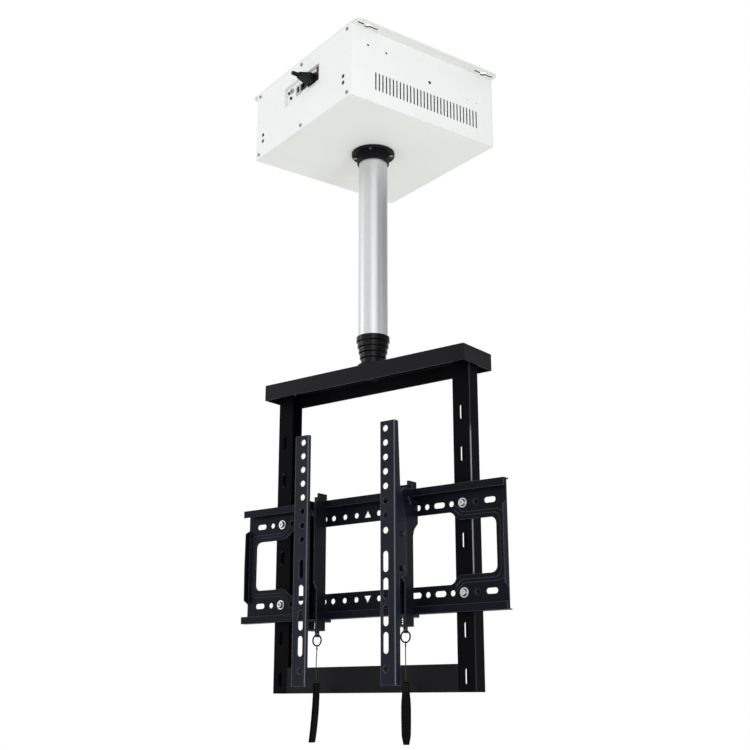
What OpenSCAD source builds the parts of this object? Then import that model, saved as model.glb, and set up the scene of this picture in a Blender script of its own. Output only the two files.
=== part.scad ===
// Ceiling TV lift: a motorised telescopic column that carries a tilting screen mount.
// Origin on the column axis at the ceiling, Z up, X along the cross beam, screen side to -Y.

/* [Ceiling unit] */
// width of the housing along its connection panel
housing_w = 350; // [320:1:400]
// depth of the housing along its vented sides
housing_d = 365; // [330:1:420]
// height of the housing with the ceiling plate
housing_h = 158; // [150:1:190]
// thickness of the housing sheet
sheet_t = 1.5; // [1:0.1:2]
// thickness of the ceiling plate
ceiling_t = 3; // [2:0.5:5]
// how far the ceiling plate stands out past each vented side
ceiling_over = 22; // [20:1:40]
// turn of the frame against the housing at rest
rest_turn = 16; // [0:1:40]
// radius of the round part of each keyhole
keyhole_r = 7; // [6:0.5:8]
// width of the slit of each keyhole
keyhole_slit = 5; // [4:0.5:5]
// length of the slit of each keyhole
keyhole_len = 48; // [36:1:56]
// distance of each keyhole's middle from the end of its strip
keyhole_edge = 32.5; // [32:0.5:60]
// number of vent slots in each side
vent_count = 31; // [10:1:34]
// width of a vent slot
vent_w = 3.4; // [2:0.1:4.5]
// height of a vent slot
vent_h = 38; // [20:1:44]

/* [Connection panel] */
// width of the recess
recess_w = 128; // [120:1:150]
// height of the recess
recess_h = 44; // [42:1:56]
// depth of the recess
recess_depth = 6; // [4:0.5:9]
// length of the mains plug outside the inlet
plug_len = 46; // [35:1:60]

/* [Column] */
// outer diameter of the fixed tube
tube_d = 60; // [56:0.5:66]
// wall of every tube
tube_wall = 1.3; // [1:0.1:1.5]
// play between one tube and the next, for the guides
tube_gap = 1; // [0.8:0.1:1.4]
// length of the fixed tube that shows below the housing
tube_show = 408; // [380:1:480]
// height of one collar
collar_h = 11.2; // [9:0.2:14]
// how much wider a collar is than its tube
collar_over = 7.4; // [5:0.2:9]
// diameter of the tube flange
flange_d = 90; // [84:1:110]

/* [Frame] */
// length of the cross beam
beam_len = 495; // [485:1:560]
// depth of the cross beam
beam_depth = 98; // [80:1:120]
// height of the cross beam
beam_h = 32; // [28:1:45]
// distance of each post's slot line from the middle
post_x = 218; // [212:1:225]
// width of a post
post_w = 38; // [34:1:44]
// depth of a post
post_depth = 30; // [26:1:36]
// height of the posts below the beam's top
post_drop = 620; // [560:1:680]
// distance from the beam's top to the middle of the wall plate
plate_drop = 370; // [350:1:380]
// height of the lower crossbar
crossbar_h = 48; // [40:1:60]

/* [Wall plate] */
// length of the wall plate
plate_len = 627; // [600:1:680]
// height of the wall plate
plate_h = 229; // [225:1:236]
// sheet of the wall plate
plate_t = 2; // [1.5:0.1:2.5]
// how far the shelves stand out
shelf_depth = 16; // [14:0.5:18]
// height of the lips at the shelves' front
lip_h = 14; // [10:0.5:18]
// distance of the bolts from the plate's middle
bolt_row = 80; // [76:1:84]

/* [Screen arms] */
// distance of each hole line from the middle
arm_x = 100; // [90:1:110]
// length of an arm
arm_len = 474; // [440:1:490]
// height of an arm above the plate's middle
arm_rise = 235; // [225:1:240]
// distance of the arm's front from the column axis
arm_front = 93; // [92:0.5:95]
// sheet of the arms
arm_t = 2; // [1.5:0.1:2.5]
// pitch of the round holes
hole_pitch = 27; // [20:1:28]
// radius of the round holes and half the width of the slots
hole_r = 6; // [3:0.25:6.5]

/* [Hidden] */
$fn = 48;
run_gap = 0.06;
fit_gap = 0.1;
clear = 0.3;
side_play = 0.5;

// heights down the column
stages = 5;
collar_gap = 0.4;
collar_pitch = collar_h + collar_gap;
hub_h = 12;
washer_t = 1;
floor_z = -housing_h;
collar_top = -(housing_h + tube_show);
beam_top = collar_top - stages * collar_pitch - hub_h;
post_bottom = beam_top - post_drop;
plate_z = beam_top - plate_drop;

// tube sizes, from the outer tube inwards
tube_step = 2 * (tube_wall + tube_gap);
function tube_r(k) = (tube_d - (k - 1) * tube_step) / 2;
function bore_r(k) = tube_r(k) - tube_wall;
function collar_z(k) = collar_top - (k - 1) * collar_pitch;
guide_h = 12;
spigot_h = 8;
spigot_wall = 1.4;
stage_drop = guide_h + spigot_h + 2;
drum_z = -48;
drum_core = 24;
coil_r = 32;
drum_flange = 38;
tube_top_1 = drum_z - drum_flange - 8;
function tube_top(k) = tube_top_1 - (k - 1) * stage_drop;
collar_lip = 3;
stud_r = 10;

// housing planes, before the housing is turned
face_y = -housing_d / 2;
cover_in = face_y + sheet_t;
io_front = face_y + recess_depth;
io_back = io_front + sheet_t;
wall_x = housing_w / 2;
recess_top = -38;
row_z = recess_top - recess_h / 2 + 2;
return_w = 14;
strip_x = wall_x + ceiling_over / 2;
screw_low = floor_z + 9;
screw_high = -ceiling_t - 8;

// frame planes
beam_t = 2.5;
post_t = 2;
post_front = -post_depth / 2;
post_in = post_x - post_w / 2;
post_out = post_x + post_w / 2;
slot_pitch = 79;
slot_side = 3;
slot_len = 28;
slot_w = 8.5;
slot_shift = 13.4;
post_bend = 3;
web_front = post_front - plate_t;
lip_front = post_front - shelf_depth;
half_h = plate_h / 2;
half_len = plate_len / 2;
web_half = half_len - 4;

// arm and bracket planes, for the right-hand side
arm_in = arm_x - 13;
arm_out = arm_x + 21;
arm_mid = (arm_in + arm_out) / 2;
arm_web = -arm_front + arm_t;
arm_bend = 3;
arm_lip = 8;
arm_head = 12;
arm_shoulder = 17.5;
arm_tail = 15;
lug_edge = 11;
hole_top = 14;
hole_count = 8;
slot_down = 245;
slot_step = 47.5;
face_slot = 37.5;
face_slots = 4;
bracket_t = 2.5;
bracket_in = arm_in + arm_t + side_play;
bracket_out = arm_out - arm_t - side_play;
bracket_back = lip_front - 2;
pivot_back = 25;
pivot_y = -arm_front + pivot_back;
pivot_z = 27;
pivot_edge = 10;
hook_t = 4;
hook_w = 4;
hook_x = arm_mid + 3;
hook_rise = 16;
hook_drop = 8;
web_rise = 8.5;
rear_y = web_front - clear;
inner_front = -68;
lock_z = -36;
bolt_r = 4;
latch_play = 0.4;
nose_top = -half_h - clear - 0.4;
nose_t = 4;
latch_y = -39;
eye_z = -half_h - 28;
ring_r = 10.2;
ring_wire = 1.3;
spring_y = -50;
spring_r = 3.4;
spring_wire = 0.4;
spring_turns = 3.5;
foot_z = -half_h - 22;
foot_y = -59;
tilt_down = 8;
tilt_up = 3;

function unit(v) = v / norm(v);

// one corner of a polygon as an arc
function corner(a, b, c, r, n) =
    let (u = unit(a - b), w = unit(c - b), h = acos(u * w) / 2, m = b + unit(u + w) * r / sin(h),
        s = b + u * r / tan(h), e = b + w * r / tan(h), t = atan2(s[1] - m[1], s[0] - m[0]),
        d = atan2(e[1] - m[1], e[0] - m[0]) - t, k = d > 180 ? d - 360 : d < -180 ? d + 360 : d)
    [for (i = [0 : n]) m + r * [cos(t + k * i / n), sin(t + k * i / n)]];

// a polygon with every corner rounded
function rounded(p, r, n = 4) =
    [for (i = [0 : len(p) - 1])
        each corner(p[(i + len(p) - 1) % len(p)], p[i], p[(i + 1) % len(p)], r, n)];

function box_points(w, h) = [[-w / 2, -h / 2], [w / 2, -h / 2], [w / 2, h / 2], [-w / 2, h / 2]];

// rings of points round a path, and the faces that join them
function tube_points(path, r, n, ref) =
    [for (i = [0 : len(path) - 1])
        let (t = unit(path[min(i + 1, len(path) - 1)] - path[max(i - 1, 0)]), u = unit(cross(t, ref)),
            v = cross(t, u))
        for (j = [0 : n - 1]) path[i] + r * (cos(360 * j / n) * u + sin(360 * j / n) * v)];
function tube_faces(m, n) = concat(
    [for (i = [0 : m - 2]) for (j = [0 : n - 1])
        each [[i * n + j, (i + 1) * n + (j + 1) % n, i * n + (j + 1) % n],
            [i * n + j, (i + 1) * n + j, (i + 1) * n + (j + 1) % n]]],
    [for (j = [1 : n - 2]) [0, j, j + 1]],
    [for (j = [1 : n - 2]) [(m - 1) * n, (m - 1) * n + j + 1, (m - 1) * n + j]]);

module swept(path, r, n, ref) {
    polyhedron(points = tube_points(path, r, n, ref), faces = tube_faces(len(path), n));
}

// a round-ended slot along Y in the plane
module slot2d(len, w) {
    square([w, len - w], center = true);
    translate([0, (len - w) / 2]) circle(d = w);
    translate([0, -(len - w) / 2]) circle(d = w);
}

// a plain round bar between two heights
module rod(r, z0, z1) {
    translate([0, 0, z0]) cylinder(r = r, h = z1 - z0);
}

// a round tube between two heights
module pipe(r_out, r_in, z0, z1) {
    difference() {
        rod(r_out, z0, z1);
        rod(r_in, z0 - 1, z1 + 1);
    }
}

// a box from its two corners
module span(a, b) {
    translate(a) cube(b - a);
}

// a plate in the XZ plane, from a drawing in X and Z, between two Y planes
module plate_xz(y0, y1) {
    translate([0, y1, 0]) rotate([90, 0, 0]) linear_extrude(y1 - y0) children();
}

// a plate in the YZ plane, from a drawing in Y and Z, between two X planes
module plate_yz(x0, x1) {
    translate([x0, 0, 0]) rotate([90, 0, 90]) linear_extrude(x1 - x0) children();
}

// a bar along X between two X planes
module bar_x(r, x0, x1) {
    translate([x0, 0, 0]) rotate([0, 90, 0]) cylinder(r = r, h = x1 - x0);
}

// a bar along Y between two Y planes
module bar_y(r, y0, y1) {
    translate([0, y1, 0]) rotate([90, 0, 0]) cylinder(r = r, h = y1 - y0);
}

module hex_x(r, x0, x1) {
    translate([x0, 0, 0]) rotate([0, 90, 0]) cylinder(r = r, h = x1 - x0, $fn = 6);
}

module hex_y(r, y0, y1) {
    translate([0, y1, 0]) rotate([90, 0, 0]) cylinder(r = r, h = y1 - y0, $fn = 6);
}

module hex_z(r, z0, z1) {
    translate([0, 0, z0]) cylinder(r = r, h = z1 - z0, $fn = 6);
}

module in_housing() {
    rotate([0, 0, -rest_turn]) children();
}

module left_side() {
    mirror([1, 0, 0]) children();
}

// ceiling unit

module ceiling_plate() {
    color([0.86, 0.87, 0.86])
    in_housing()
    translate([0, 0, -ceiling_t])
    linear_extrude(ceiling_t)
    difference() {
        polygon(rounded(box_points(housing_w + 2 * ceiling_over, housing_d), 12));
        for (sx = [-1, 1]) {
            for (sy = [-1, 1]) {
                translate([sx * strip_x, sy * (housing_d / 2 - keyhole_edge)]) {
                    circle(r = keyhole_r);
                    slot2d(keyhole_len, keyhole_slit);
                }
            }
        }
    }
}

// one vented side, drawn in Y and Z
module vented_side() {
    vent_first = face_y + 0.165 * housing_d;
    vent_last = face_y + 0.875 * housing_d;
    vent_low = floor_z + 29;
    difference() {
        translate([cover_in, floor_z]) square([-2 * cover_in, housing_h - ceiling_t]);
        for (i = [0 : vent_count - 1]) {
            vent_y = vent_first + (vent_last - vent_first) * i / (vent_count - 1);
            translate([vent_y - vent_w / 2, vent_low]) square([vent_w, vent_h]);
        }
        translate([face_y + 0.113 * housing_d, -37]) circle(r = 2.6);
        translate([face_y + 0.235 * housing_d, -39]) circle(r = 2.6);
        translate([face_y + 0.537 * housing_d, -66]) circle(r = 3.8);
        translate([face_y + 0.81 * housing_d, -71]) circle(r = 1.4);
        translate([face_y + 0.88 * housing_d, -71]) circle(r = 1.4);
    }
}

// holes of the cover screws, on one end
module cover_points() {
    for (px = [-wall_x + 12, 0, wall_x - 12]) {
        for (pz = [screw_low, screw_high]) {
            translate([px, 0, pz]) children();
        }
    }
}

screw_r = 1.6;

module housing_tray() {
    color([0.93, 0.94, 0.94])
    in_housing()
    difference() {
        union() {
            difference() {
                span([-wall_x, cover_in, floor_z], [wall_x, -cover_in, floor_z + sheet_t]);
                rod(tube_d / 2 + clear, floor_z - 1, floor_z + sheet_t + 1);
                flange_points() rod(2.2, floor_z - 1, floor_z + sheet_t + 1);
            }
            plate_yz(wall_x - sheet_t, wall_x) vented_side();
            plate_yz(-wall_x, -wall_x + sheet_t) vented_side();
            for (sy = [-1, 1]) {
                scale([1, sy, 1]) {
                    end_returns();
                }
            }
        }
        cover_points() bar_y(screw_r + fit_gap, cover_in - 1, cover_in + 4);
        cover_points() bar_y(screw_r + fit_gap, -cover_in - 4, -cover_in + 1);
    }
}

// strips that the cover is screwed to
module end_returns() {
    top_z = -ceiling_t;
    for (sx = [-1, 1]) {
        x0 = sx > 0 ? wall_x - return_w - 5 : -wall_x;
        span([x0, cover_in, floor_z], [x0 + return_w + 5, cover_in + sheet_t, top_z]);
    }
    span([-wall_x, cover_in, floor_z], [wall_x, cover_in + sheet_t, floor_z + return_w]);
    span([-wall_x, cover_in, top_z - return_w], [wall_x, cover_in + sheet_t, top_z]);
}

// outline of an end cover with its screw holes, drawn in X and Z
module cover_outline() {
    difference() {
        translate([-wall_x, floor_z]) square([housing_w, housing_h - ceiling_t]);
        for (px = [-wall_x + 12, 0, wall_x - 12]) {
            for (pz = [screw_low, screw_high]) {
                translate([px, pz]) circle(r = screw_r + fit_gap);
            }
        }
        for (sx = [-1, 1]) {
            for (pz = [-108, -122]) {
                translate([sx * (wall_x - 26), pz]) square([9, 8], center = true);
            }
        }
    }
}

module panel_cover() {
    color([0.92, 0.93, 0.93])
    in_housing()
    plate_xz(face_y, cover_in)
    difference() {
        cover_outline();
        translate([0, recess_top - recess_h / 2]) square([recess_w, recess_h], center = true);
    }
}

module rear_cover() {
    color([0.92, 0.93, 0.93])
    in_housing()
    plate_xz(-cover_in, -face_y) cover_outline();
}

module cover_screws() {
    in_housing()
    for (sy = [-1, 1]) {
        scale([1, sy, 1]) {
            cover_points() {
                bar_y(screw_r, face_y - 0.5, cover_in + sheet_t + 3);
                difference() {
                    bar_y(3.4, face_y - 1.8, face_y);
                    span([-0.5, face_y - 3, -2.2], [0.5, face_y - 1, 2.2]);
                    span([-2.2, face_y - 3, -0.5], [2.2, face_y - 1, 0.5]);
                }
            }
        }
    }
}

// connection panel

switch_x = 56;
inlet_x = 30;
link_x = 12.5;
data_x = 0;
serial_x = -19;
jack_x = -43.5;
up_x = -54.5;
down_x = -47;
switch_z = row_z + 6;
jack_z = row_z + 8;
up_z = row_z + 7.5;
down_z = row_z - 7;
switch_w = 13;
switch_h = 22;
inlet_w = 24;
inlet_h = 20;
data_w = 14;
data_h = 13;
link_w = 6;
link_h = 10;
serial_w = 15;
serial_h = 18;
jack_r = 4.5;
button_r = 3;

module io_panel() {
    color([0.88, 0.89, 0.89])
    in_housing()
    difference() {
        union() {
            span([-recess_w / 2 - 6, cover_in, recess_top - recess_h - 6],
                [recess_w / 2 + 6, cover_in + sheet_t, recess_top + 6]);
            span([-recess_w / 2 - sheet_t, cover_in, recess_top - recess_h - sheet_t],
                [recess_w / 2 + sheet_t, io_back, recess_top + sheet_t]);
        }
        span([-recess_w / 2, cover_in - 1, recess_top - recess_h], [recess_w / 2, io_front, recess_top]);
        io_hole(switch_x, switch_z, switch_w, switch_h);
        io_hole(inlet_x, row_z, inlet_w, inlet_h);
        io_hole(data_x, row_z, data_w, data_h);
        io_hole(link_x, row_z, link_w, link_h);
        io_hole(serial_x, row_z, serial_w, serial_h);
        translate([jack_x, 0, jack_z]) bar_y(jack_r + fit_gap, io_front - 1, io_back + 1);
        translate([up_x, 0, up_z]) bar_y(button_r + clear, io_front - 1, io_back + 1);
        translate([down_x, 0, down_z]) bar_y(button_r + clear, io_front - 1, io_back + 1);
    }
}

module io_hole(x, z, w, h) {
    span([x - w / 2 - fit_gap, io_front - 1, z - h / 2 - fit_gap],
        [x + w / 2 + fit_gap, io_back + 1, z + h / 2 + fit_gap]);
}

// a box with a lip on the panel's front, centred on X and Z
module io_body(x, z, w, h, y_end) {
    span([x - w / 2, io_front - 1.6, z - h / 2], [x + w / 2, y_end, z + h / 2]);
    span([x - w / 2 - 1.2, io_front - 1.6, z - h / 2 - 1.2], [x + w / 2 + 1.2, io_front, z + h / 2 + 1.2]);
}

board_y = io_back + 14;
rocker_y = io_front + 4;
rocker_tip = 8;

// one moulding that holds the mains inlet and the switch
module inlet_module() {
    color([0.05, 0.05, 0.055])
    in_housing()
    difference() {
        union() {
            io_body(switch_x, switch_z, switch_w, switch_h, board_y);
            io_body(inlet_x, row_z, inlet_w, inlet_h, board_y);
            span([inlet_x, io_front - 1.6, row_z - inlet_h / 2], [switch_x, io_front, row_z + inlet_h / 2]);
        }
        span([switch_x - switch_w / 2 + 1.2, io_front - 3, switch_z - switch_h / 2 + 1.2],
            [switch_x + switch_w / 2 - 1.2, io_front + 11, switch_z + switch_h / 2 - 1.2]);
        span([inlet_x - 10, io_front - 3, row_z - 7.5], [inlet_x + 10, io_front + 10, row_z + 7.5]);
    }
}

// paddle of the rocker, drawn in Y and Z about its pivot
module rocker_shape() {
    tall = switch_h / 2 - 2.4;
    polygon([[-6.2, -tall], [-7, 0], [-6.2, tall], [-1, tall], [4.5, 3], [6.7, 0], [4.5, -3], [-1, -tall]]);
}

module rocker() {
    color([0.42, 0.03, 0.05])
    in_housing()
    translate([switch_x, rocker_y, switch_z])
    rotate([rocker_tip, 0, 0])
    plate_yz(-switch_w / 2 + 1.6, switch_w / 2 - 1.6) rocker_shape();
}

module mains_plug() {
    base_y = io_front - 1.6;
    tip_y = base_y - plug_len;
    color([0.045, 0.045, 0.05])
    in_housing()
    translate([inlet_x, 0, row_z]) {
        span([-9.7, base_y, -7.2], [9.7, io_front + 9.7, 7.2]);
        intersection() {
            translate([0, 0, -20]) linear_extrude(40)
            polygon([[-10.5, base_y], [-10.5, base_y - 9], [-4.6, tip_y + 14], [4.6, tip_y + 14],
                [10.5, base_y - 9], [10.5, base_y]]);
            plate_yz(-20, 20)
            polygon([[base_y, -9], [base_y - 9, -9], [tip_y + 14, -5], [tip_y + 14, 5],
                [base_y - 9, 9], [base_y, 9]]);
        }
        bar_y(3.6, tip_y, tip_y + 16);
        for (i = [0 : 2]) {
            bar_y(4.4, tip_y + 2 + 4 * i, tip_y + 4 + 4 * i);
        }
    }
}

module data_socket() {
    color([0.05, 0.05, 0.055])
    in_housing()
    difference() {
        union() {
            io_body(data_x, row_z, data_w, data_h, board_y);
            io_body(link_x, row_z, link_w, link_h, board_y);
            span([data_x, io_back + 2, row_z - data_h / 2], [link_x, board_y, row_z + data_h / 2]);
        }
        span([data_x - 5.5, io_front - 3, row_z - 4.5], [data_x + 5.5, io_front + 9, row_z + 4.5]);
        span([link_x - 1.9, io_front - 3, row_z - 3.9], [link_x + 1.9, io_front + 9, row_z + 3.9]);
    }
}

module serial_port() {
    color([0.45, 0.46, 0.48])
    in_housing()
    difference() {
        io_body(serial_x, row_z, serial_w, serial_h, board_y);
        span([serial_x - 4, io_front - 3, row_z - 6.5], [serial_x + 4, io_front + 6, row_z + 6.5]);
    }
}

module round_jack() {
    color([0.62, 0.63, 0.65])
    in_housing()
    translate([jack_x, 0, jack_z])
    difference() {
        union() {
            bar_y(jack_r, io_front - 3, board_y);
            bar_y(jack_r + 1.4, io_front - 1, io_front);
        }
        bar_y(2.8, io_front - 4, io_front + 8);
    }
}

module push_button(x, z) {
    in_housing()
    translate([x, 0, z]) {
        bar_y(button_r, io_front - 2.6, io_back + 2);
        bar_y(button_r + 1.6, io_back + 0.2, io_back + 2);
    }
}

module up_button() {
    color([0.42, 0.04, 0.05]) push_button(up_x, up_z);
}

module down_button() {
    color([0.05, 0.05, 0.055]) push_button(down_x, down_z);
}

module control_board() {
    color([0.06, 0.22, 0.12])
    in_housing() {
        span([-62, board_y, recess_top - recess_h + 1], [62, board_y + 1.6, recess_top - 1]);
        for (sx = [-1, 1]) {
            for (pz = [recess_top - 4.5, recess_top - recess_h + 4.5]) {
                translate([sx * 36, 0, pz]) bar_y(1.8, io_back, board_y);
            }
        }
        span([-50, board_y + 1.6, row_z - 12], [-26, board_y + 10, row_z + 10]);
        span([-12, board_y + 1.6, row_z - 8], [10, board_y + 6, row_z + 8]);
    }
}

// winch

shaft_r = 6;
strap_t = 1.2;
strap_w = 25;
drum_x = coil_r - strap_t / 2;
drum_half = strap_w / 2 + 1;
frame_y = tube_d / 2 + 3;
frame_t = 4;
cheek_half = 34;
cheek_foot = 16;
cheek_foot_t = 3;
supply_gap = 24;
supply_w = 90;
supply_len = 160;
supply_h = 46;
supply_y = -70;
gear_r = 33;
gear_len = 42;
motor_r = 29;
motor_len = 76;
tail_r = 9;
tail_len = 6;
shaft_seat = 14;

module power_supply() {
    color([0.6, 0.61, 0.62])
    in_housing()
    translate([-wall_x + supply_gap, supply_y, floor_z + sheet_t]) cube([supply_w, supply_len, supply_h]);
}

module winch_frame() {
    frame_low = floor_z + sheet_t;
    color([0.55, 0.56, 0.58])
    in_housing()
    for (sy = [-1, 1]) {
        y0 = sy > 0 ? frame_y : -frame_y - frame_t;
        difference() {
            union() {
                span([drum_x - cheek_half, y0, frame_low], [drum_x + cheek_half, y0 + frame_t, drum_z]);
                translate([drum_x, 0, drum_z]) bar_y(cheek_half, y0, y0 + frame_t);
                span([drum_x - cheek_half, sy > 0 ? y0 : y0 - cheek_foot, frame_low],
                    [drum_x + cheek_half, sy > 0 ? y0 + frame_t + cheek_foot : y0 + frame_t,
                    frame_low + cheek_foot_t]);
            }
            translate([drum_x, 0, drum_z]) bar_y(shaft_r + run_gap, y0 - 1, y0 + frame_t + 1);
        }
    }
}

module winch_drum() {
    color([0.7, 0.71, 0.72])
    in_housing()
    translate([drum_x, 0, drum_z]) {
        bar_y(shaft_r, -frame_y - frame_t - 2, frame_y + frame_t + 10);
        bar_y(drum_core, -drum_half, drum_half);
        bar_y(drum_flange, -drum_half - 3, -drum_half);
        bar_y(drum_flange, drum_half, drum_half + 3);
        bar_y(shaft_r + 5, -frame_y + 0.4, -drum_half);
        bar_y(shaft_r + 5, drum_half, frame_y - 0.4);
    }
}

module gear_motor() {
    motor_y = frame_y + frame_t;
    color([0.2, 0.2, 0.22])
    in_housing()
    translate([drum_x, 0, drum_z])
    difference() {
        union() {
            bar_y(gear_r, motor_y, motor_y + gear_len);
            bar_y(motor_r, motor_y + gear_len, motor_y + gear_len + motor_len);
            bar_y(tail_r, motor_y + gear_len + motor_len, motor_y + gear_len + motor_len + tail_len);
        }
        bar_y(shaft_r + clear, motor_y - 1, motor_y + shaft_seat);
    }
}

anchor_z = collar_z(stages) + 12;

// the wound strap and its run down the column
module lift_strap() {
    color([0.1, 0.1, 0.11])
    in_housing() {
        span([-strap_t / 2, -strap_w / 2, anchor_z - 10], [strap_t / 2, strap_w / 2, drum_z]);
        translate([drum_x, 0, drum_z])
        difference() {
            bar_y(coil_r, -strap_w / 2, strap_w / 2);
            bar_y(drum_core + fit_gap, -strap_w, strap_w);
        }
    }
}

// column

module flange_points() {
    for (a = [45 : 90 : 315]) {
        rotate([0, 0, a]) translate([flange_d / 2 - 6.5, 0, 0]) children();
    }
}

sleeve_r = tube_d / 2 + 3.5;

module tube_flange() {
    color([0.05, 0.05, 0.055])
    in_housing()
    difference() {
        union() {
            rod(flange_d / 2, floor_z - 6, floor_z);
            rod(sleeve_r, floor_z - 25, floor_z);
        }
        rod(tube_d / 2 + fit_gap, floor_z - 30, floor_z + 1);
        flange_points() rod(2.2, floor_z - 7, floor_z + 1);
    }
}

module flange_screws() {
    in_housing()
    flange_points() {
        rod(2, floor_z - 7, floor_z + 6);
        difference() {
            rod(4, floor_z - 8.4, floor_z - 6);
            hex_z(1.8, floor_z - 9, floor_z - 7);
        }
    }
}

module housing_screws() {
    color([0.74, 0.75, 0.76]) {
        cover_screws();
        flange_screws();
    }
}

// foot of a tube inside its collar
function tube_foot(k) = collar_z(k) - collar_h + collar_lip;

module tube(k) {
    color([0.78, 0.79, 0.8])
    in_housing()
    pipe(tube_r(k), bore_r(k), tube_foot(k), tube_top(k));
}

// collar k holds tube k and guides the next one
module collar(k) {
    inner = k < stages ? tube_r(k + 1) + run_gap : stud_r + clear;
    c = 0.8;
    z1 = collar_z(k);
    z0 = z1 - collar_h;
    r_out = tube_r(k) + collar_over / 2;
    color([0.045, 0.045, 0.05])
    in_housing()
    rotate_extrude()
    polygon([[inner, z0], [r_out - c, z0], [r_out, z0 + c], [r_out, z1 - c], [r_out - c, z1],
        [tube_r(k) + fit_gap, z1], [tube_r(k) + fit_gap, z0 + collar_lip], [inner, z0 + collar_lip]]);
}

// guide k sits in the top of tube k and runs in the bore of the tube outside it
module guide(k) {
    z0 = tube_top(k);
    bore = bore_r(k) - spigot_wall - fit_gap;
    color([0.85, 0.85, 0.82])
    in_housing()
    rotate_extrude()
    polygon([[bore, z0 - spigot_h], [bore_r(k) - fit_gap, z0 - spigot_h], [bore_r(k) - fit_gap, z0],
        [bore_r(k - 1) - run_gap, z0], [bore_r(k - 1) - run_gap, z0 + guide_h], [bore, z0 + guide_h]]);
}

module tube_1() { tube(1); }
module tube_2() { tube(2); }
module tube_3() { tube(3); }
module tube_4() { tube(4); }
module tube_5() { tube(5); }
module collar_1() { collar(1); }
module collar_2() { collar(2); }
module collar_3() { collar(3); }
module collar_4() { collar(4); }
module collar_5() { collar(5); }
module guide_2() { guide(2); }
module guide_3() { guide(3); }
module guide_4() { guide(4); }
module guide_5() { guide(5); }

hub_top = beam_top + hub_h - washer_t;
stud_end = beam_top - beam_t - 16;

module swivel_stud() {
    color([0.6, 0.61, 0.63])
    in_housing()
    difference() {
        union() {
            rod(bore_r(stages) - fit_gap, tube_foot(stages), anchor_z);
            rod(stud_r, stud_end, tube_foot(stages) + 1);
        }
        span([-strap_t / 2 - 0.2, -strap_w / 2 - 0.3, anchor_z - 10.2],
            [strap_t / 2 + 0.2, strap_w / 2 + 0.3, anchor_z + 1]);
    }
}

module swivel_nut() {
    nut_top = beam_top - beam_t - clear;
    color([0.66, 0.67, 0.69])
    difference() {
        union() {
            rod(19, nut_top - 2, nut_top);
            hex_z(16, nut_top - 12, nut_top - 2);
        }
        rod(stud_r + fit_gap, nut_top - 20, nut_top + 1);
    }
}

module swivel_hub() {
    color([0.05, 0.05, 0.055])
    difference() {
        union() {
            rod(31, beam_top, hub_top);
            rod(24, hub_top, hub_top + washer_t);
        }
        rod(stud_r + run_gap, beam_top - 1, hub_top + washer_t + 1);
    }
}

// frame

module post_points() {
    for (sx = [-1, 1]) {
        for (sy = [-1, 1]) {
            translate([sx * (post_x - 4), sy * 7, 0]) children();
        }
    }
}

module cross_beam() {
    hx = beam_len / 2;
    hy = beam_depth / 2;
    color([0.06, 0.06, 0.065])
    difference() {
        translate([0, 0, beam_top - beam_h]) linear_extrude(beam_h)
        polygon(rounded(box_points(beam_len, beam_depth), 3));
        translate([0, 0, beam_top - beam_h - 1]) linear_extrude(beam_h - beam_t + 1)
        polygon(rounded(box_points(beam_len - 2 * beam_t, beam_depth - 2 * beam_t), 1));
        rod(stud_r + clear, beam_top - beam_t - 1, beam_top + 1);
        post_points() rod(bolt_r + fit_gap, beam_top - beam_t - 1, beam_top + 1);
    }
}

post_top = beam_top - beam_t;

// section of the right-hand post, drawn in X and Y
module post_section() {
    yb = -post_front;
    fore_in = [post_in, post_front];
    fore_out = [post_out, post_front];
    aft_out = [post_out, yb];
    aft_in = [post_in, yb];
    polygon(concat([fore_in], corner(fore_in, fore_out, aft_out, post_bend, 4),
        corner(fore_out, aft_out, aft_in, post_bend, 4), [aft_in, [post_in, yb - post_t],
        [post_out - post_t, yb - post_t], [post_out - post_t, post_front + post_t],
        [post_in, post_front + post_t]]));
}

module post() {
    color([0.06, 0.06, 0.065])
    difference() {
        union() {
            translate([0, 0, post_bottom]) linear_extrude(post_top - post_bottom) post_section();
            span([post_in, post_front, post_top - 3], [post_out, -post_front, post_top]);
        }
        for (i = [-slot_side : slot_side]) {
            plate_xz(post_front - 1, post_front + post_t + 1)
            translate([post_x, plate_z + slot_shift + slot_pitch * i])
            slot2d(slot_len, slot_w);
        }
        for (sz = [-1, 1]) {
            translate([post_x, 0, plate_z + sz * bolt_row])
            bar_y(bolt_r + fit_gap, post_front - 1, post_front + post_t + 1);
        }
        post_points() rod(bolt_r + fit_gap, post_top - 4, post_top + 1);
    }
}

module right_post() {
    post();
}

module left_post() {
    left_side() post();
}

module post_bolts() {
    post_points() {
        hex_z(6, beam_top, beam_top + 5);
        rod(bolt_r, post_top - 12, beam_top + 0.5);
        difference() {
            hex_z(6, post_top - 9, post_top - 3);
            rod(bolt_r + fit_gap, post_top - 10, post_top - 2);
        }
    }
}

module lower_crossbar() {
    bar_t = 2.5;
    color([0.06, 0.06, 0.065]) {
        span([-post_in, post_front, post_bottom], [post_in, post_front + bar_t, post_bottom + crossbar_h]);
        span([-post_in, post_front, post_bottom], [post_in, -post_front - post_t, post_bottom + bar_t]);
    }
}

// wall plate

win_end = half_len - 25;
win_side = 49;
win_mid = 65;
win_bend = 12;
step_in = post_x - 26;
step_out = post_x - 8;
row_hole = 5.2;
rim_from = step_in + 8;
flange_half = 76;

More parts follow.
